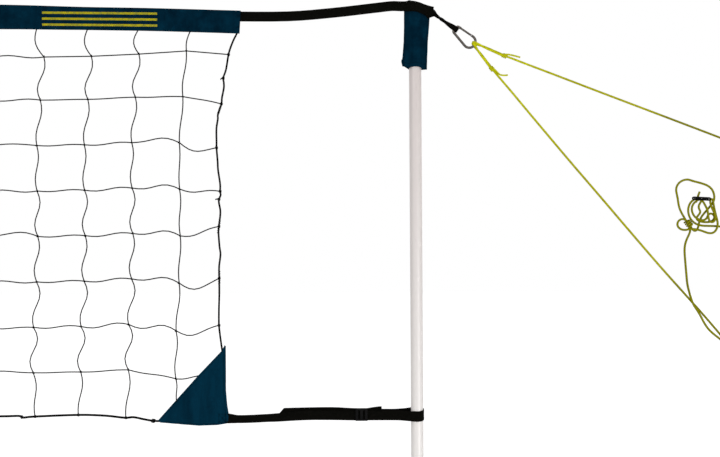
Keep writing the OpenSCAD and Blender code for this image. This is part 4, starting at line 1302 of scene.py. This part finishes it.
def strapPiece(line, across, widths=None, thicker=None):
    bm = bmesh.new()
    section = strip(bm, strapSize["width"], strapSize["thickness"])
    places = []
    for i, point in enumerate(line):
        way = (line[min(i + 1, len(line) - 1)] - line[max(i - 1, 0)]).normalized()
        side = across[i] if isinstance(across, list) else across
        side = (side - side.dot(way) * way).normalized()
        wide = (widths[i] if widths else strapSize["width"]) / strapSize["width"]
        thick = thicker[i] if thicker else 1
        turn = Matrix((side, way.cross(side), way)).transposed().to_4x4()
        places.append(Matrix.Translation(point) @ turn @ Matrix.Diagonal((wide, thick, 1, 1)))
    sweep(bm, section, places)
    return bm


def makeTopStrap():
    up, thick, layers = Vector((0, 0, 1)), strapSize["thickness"], []
    for count, layer in enumerate(sleeveLayers):
        across = smooth([mm(x, 0, z) for x, z in layer], 4)
        for p in across:
            face = sleeveFace(p.x, p.z) if p.x < 0.030 else 0.0013
            p.y = -(face + thick / 2 + 0.0014 + count * (thick + 0.0002))
        layers.append(across)
    line = smooth([mm(*p) for p in topStrapLine], 4) + layers[0]
    start = len(line) - len(layers[0]) - 2
    for _ in range(2):  # no sharp bend where it meets the sleeve
        near = line[start:]
        line[start + 1:-1] = [(a + 2 * b + c) / 4 for a, b, c in zip(near, near[1:], near[2:])]
    both = joined(strapPiece(line, up), strapPiece(layers[1], up))
    strap = piece("topStrapRight", both, "black_webbing", "net_frame")
    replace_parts(strap, "top_strap_right")
    leftTwin(strap, "topStrapLeft", "net_frame", ("top_strap_left",))


def widthAt(widths, spot):  # between two of the widths that a list gives
    low = min(int(spot), len(widths) - 2)
    return (widths[low] * (low + 1 - spot) + widths[low + 1] * (spot - low)) / 1000


def makeTail(side):
    size, end, thick = tails[side], strapSize["tailEnd"], strapSize["thickness"]
    bar, turn = hookReach(side, 0), math.radians(size["turn"])
    aim, rise = Vector((math.cos(turn), 0, -math.sin(turn))), Vector((math.sin(turn), 0, math.cos(turn)))
    loose = size["loop"] / 1000  # the right loop hangs loose, past the bar
    deep = hookSize["wire"] / 2000 + 0.0002 + thick / 2
    middle = evenLine([end + mm(*p) for p in size["line"]] + [bar - (deep + 0.005) * aim], 0.002, 2)
    last = len(middle) - 1
    there, back, across, widths, thicker = [], [], [], [], []
    for i, point in enumerate(middle):
        way = (middle[min(i + 1, last)] - middle[max(i - 1, 0)]).normalized()
        flat = Vector((-way.z, 0, way.x)).normalized()
        share = i / last
        twist = math.pi * clamp((share - 0.12) / 0.6)
        bunch = 1 + 1.1 * math.exp(-((share - 0.42) / 0.2) ** 2)  # it is thicker where it is turned over
        facing = math.cos(twist) * flat + math.sin(twist) * Vector((0, 1, 0))
        out = way.cross(facing).normalized() * (bunch * thick / 2 + 0.0001)
        there.append(point + out)
        back.append(point - out)
        across.append(facing)
        thicker.append(bunch)
        widths.append(widthAt(size["widths"], share * (len(size["widths"]) - 1)))
    face = 1 if there[-1].y > back[-1].y else -1
    turns = map(math.radians, range(110, -111, -20))
    loop = [bar + loose * math.cos(a) * aim + deep * face * math.sin(a) * Vector((0, 1, 0)) for a in turns]
    sign = 1 if across[-1].dot(rise) > 0 else -1
    sides = across + [sign * rise] * len(loop) + across[::-1]
    wide = widths + [widths[-1]] * len(loop) + widths[::-1]
    bm = strapPiece(there + loop + back[::-1], sides, wide, thicker + [1] * len(loop) + thicker[::-1])
    made = piece("tailStrap" + side.title(), bm, "black_webbing", "net_frame")
    if side == "left":
        made.data.transform(otherEnd)
        made.data.flip_normals()
    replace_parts(made, "tail_strap_" + side)


def makeBottomStrap():
    size, up = bottomStrapLine, Vector((0, 0, 1))
    radius, steps = size["radius"], 3
    turn = []
    for degrees in range(-107, 108, 8):
        a = math.radians(degrees)
        height = size["height"] + size["tilt"] * math.sin(a)
        turn.append(mm(radius * math.cos(a), radius * math.sin(a), height))
    front = smooth([mm(*p) for p in size["front"]], steps)
    line = front + turn + smooth([mm(*p) for p in size["back"]], steps)
    widths, more = [], size["poleWidth"] / 1000 - strapSize["width"]
    for i, point in enumerate(line):
        onPole = math.exp(-(((point.x - size["poleFrom"]) / size["poleReach"]) ** 4))
        widths.append(widthAt(size["widths"], min(i / steps, len(size["widths"]) - 1.001)) + more * onPole)
    whole = strapPiece(line, up, widths)
    before, level, slant = size["cut"]
    for v in whole.verts:
        if v.co.x < before and v.co.y > 0:
            v.co.x += (v.co.z - level) * slant
    end = strapPiece(smooth([mm(*p) for p in size["end"]], 3), up)  # a free end tucked into the slider
    reach, level, slant = size["endCut"]
    last = max(v.co.x for v in end.verts)
    for v in end.verts:
        if v.co.x > last - reach:
            v.co.x -= (v.co.z - level) * slant
    strap = piece("bottomStrapRight", joined(whole, end), "black_webbing", "net_frame")
    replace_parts(strap, "bottom_strap_right")
    leftTwin(strap, "bottomStrapLeft", "net_frame", ("bottom_strap_left",))


def bend(x, y, radius, start, end, steps):  # an arc in the hook's own plane
    turns = [math.radians(start + (end - start) * k / steps) for k in range(steps + 1)]
    return [mm(x + radius * math.cos(a), y + radius * math.sin(a), 0) for a in turns]


def hookLean():  # the direction in which a straight side leaves its bends
    corner = hookSize["cornerRadius"]
    run = hookSize["reach"] - corner
    grown = math.acos((corner - hookSize["endRadius"]) / math.hypot(run, corner))
    return math.degrees(grown - math.atan2(corner, run))


def makeHook(side):
    size, bm = hookSize, bmesh.new()
    lean, corner = hookLean(), size["cornerRadius"]
    end = bend(size["reach"], 0, size["endRadius"], lean, -lean, 36)
    low = bend(corner, -corner, corner, 360 - lean, 180, 10)
    high = bend(corner, corner, corner, 180, lean, 10)
    run = (end[0] - high[-1]).normalized()
    nose = [end[0] - size["nose"] / 1000 * run, end[0] - 0.002 * run]
    line = nose + end + low + high + [high[-1] + 0.0012 * run]
    out = Vector((0, 0, 1))
    cordTube(bm, line, size["wire"] / 1000, out, 16)
    tip = Matrix.Translation(high[-1] + size["rivet"] / 1000 * run)
    turn = Matrix((run, out.cross(run), out)).transposed().to_4x4()
    thick, cheeks = (size["wire"] - size["slot"]) / 2000, []
    rounded = {"offset": size["cheekEdge"], "segments": 3, "profile": 0.5, "affect": "EDGES", "material": -1}
    for way in (-1, 1):
        cheek = bmesh.new()
        bmesh.ops.create_cube(cheek, size=1)
        aside = Matrix.Translation((size["cheekPlace"], 0, way * (size["slot"] / 2000 + thick / 2)))
        shape = tip @ turn @ aside @ Matrix.Diagonal((*size["cheek"], thick, 1))
        bmesh.ops.transform(cheek, matrix=shape, verts=cheek.verts)
        bmesh.ops.bevel(cheek, geom=cheek.edges[:], **rounded)
        cheeks.append(cheek)
    whole = joined(bm, *cheeks)
    upright = Matrix.Rotation(math.radians(90), 4, "X")
    turned = Matrix.Rotation(math.radians(size[side]["turn"]), 4, "Y")
    place = Matrix.Translation(hookReach(side, 0)) @ turned @ upright
    if side == "left":
        place = otherEnd @ place
    bmesh.ops.transform(whole, matrix=place, verts=whole.verts)
    hook = piece("hook" + side.title(), whole, "steel_wire", size[side]["body"], angle=40)
    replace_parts(hook, "hook_body_" + side)


makeBand()
makeSleeve()
makePatch()
makeTopStrap()
for end in tails:
    makeTail(end)
    makeHook(end)
makeBottomStrap()
print("cloth, straps and hooks made")


# What the CAD already shapes: finishes, and edges softened where they are moulded or cut
softened = {
    "foot_cap": 0.0012, "clamp_collar": 0.0010, "clamp_lever": 0.0007, "clamp_bolt": 0.0003,
    "top_cap": 0.0006, "strap_slider": 0.0005, "rope_tensioner": 0.0006, "hook_gate": 0.0003,
    "hook_rivet": 0.0002, "guide_bush": 0.0004,
}


def finishNodes():
    for name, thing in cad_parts.items():
        for slot in thing.material_slots:
            kind = slot.material.name.split(".")[0]
            if kind in finishes:
                slot.material = finishes[kind]
        for start, width in softened.items():
            if name.startswith(start):
                weld = thing.modifiers.new("weld", "WELD")
                weld.merge_threshold = 0.00001
                bevel = thing.modifiers.new("bevel", "BEVEL")
                bevel.width, bevel.segments, bevel.limit_method = width, 3, "ANGLE"
                bevel.angle_limit, bevel.harden_normals = math.radians(35), True


finishNodes()
print("nodes finished")


# Floor, backdrop and light
studio = {
    "white": (1, 1, 1, 1), "floor": (0.86, 0.86, 0.86, 1), "floorGlow": 0.62, "world": 0.52, "floorHalf": 30,
    "lamps": {  # place, what it points at, size, power
        "key": ((2.6, -3.6, 0.8), (-0.2, 0, 1.6), 1.6, 62),
        "fill": ((-3.2, -4.2, 3.0), (-0.4, 0, 1.7), 2.6, 40),
        "rim": ((1.0, 3.5, 3.6), (-0.4, 0, 1.9), 2.2, 12),
    },
}


def makeStudio():
    bm = bmesh.new()
    bmesh.ops.create_grid(bm, x_segments=1, y_segments=1, size=studio["floorHalf"])
    mesh = bpy.data.meshes.new("floor")
    bm.to_mesh(mesh)
    bm.free()
    floor = bpy.data.objects.new("floor", mesh)
    floor.location = (-poleHalf, 0, -0.0005)
    bpy.context.scene.collection.objects.link(floor)
    f = Finish("floorPaint", Roughness=0.8)
    seen = f.add("ShaderNodeLightPath", output="Is Camera Ray")
    glow = f.mix(seen, (0, 0, 0, 1), (studio["floorGlow"],) * 3 + (1,))
    mesh.materials.append(f.wear(Base_Color=studio["floor"], Emission_Color=glow, Emission_Strength=1))
    world = bpy.data.worlds.new("studio")
    world.use_nodes = True
    bpy.context.scene.world = world
    tree = world.node_tree
    tree.nodes.clear()
    out = tree.nodes.new("ShaderNodeOutputWorld")
    background, path = tree.nodes.new("ShaderNodeBackground"), tree.nodes.new("ShaderNodeLightPath")
    background.inputs["Color"].default_value = studio["white"]
    seen = tree.nodes.new("ShaderNodeMath")
    seen.operation = "MAXIMUM"
    tree.links.new(path.outputs["Is Camera Ray"], seen.inputs[0])
    tree.links.new(path.outputs["Is Glossy Ray"], seen.inputs[1])
    level = tree.nodes.new("ShaderNodeMapRange")
    level.inputs["To Min"].default_value = studio["world"]
    tree.links.new(seen.outputs[0], level.inputs["Value"])
    tree.links.new(level.outputs[0], background.inputs["Strength"])
    tree.links.new(background.outputs[0], out.inputs[0])
    for name, (place, aim, size, power) in studio["lamps"].items():
        data = bpy.data.lights.new(name, "AREA")
        data.shape, data.size, data.energy = "DISK", size, power
        lamp = bpy.data.objects.new(name, data)
        lamp.location = place
        lamp.rotation_euler = (Vector(aim) - Vector(place)).to_track_quat("-Z", "Y").to_euler()
        bpy.context.scene.collection.objects.link(lamp)
    bpy.context.scene.view_settings.view_transform = "Standard"


makeStudio()
print("studio made")
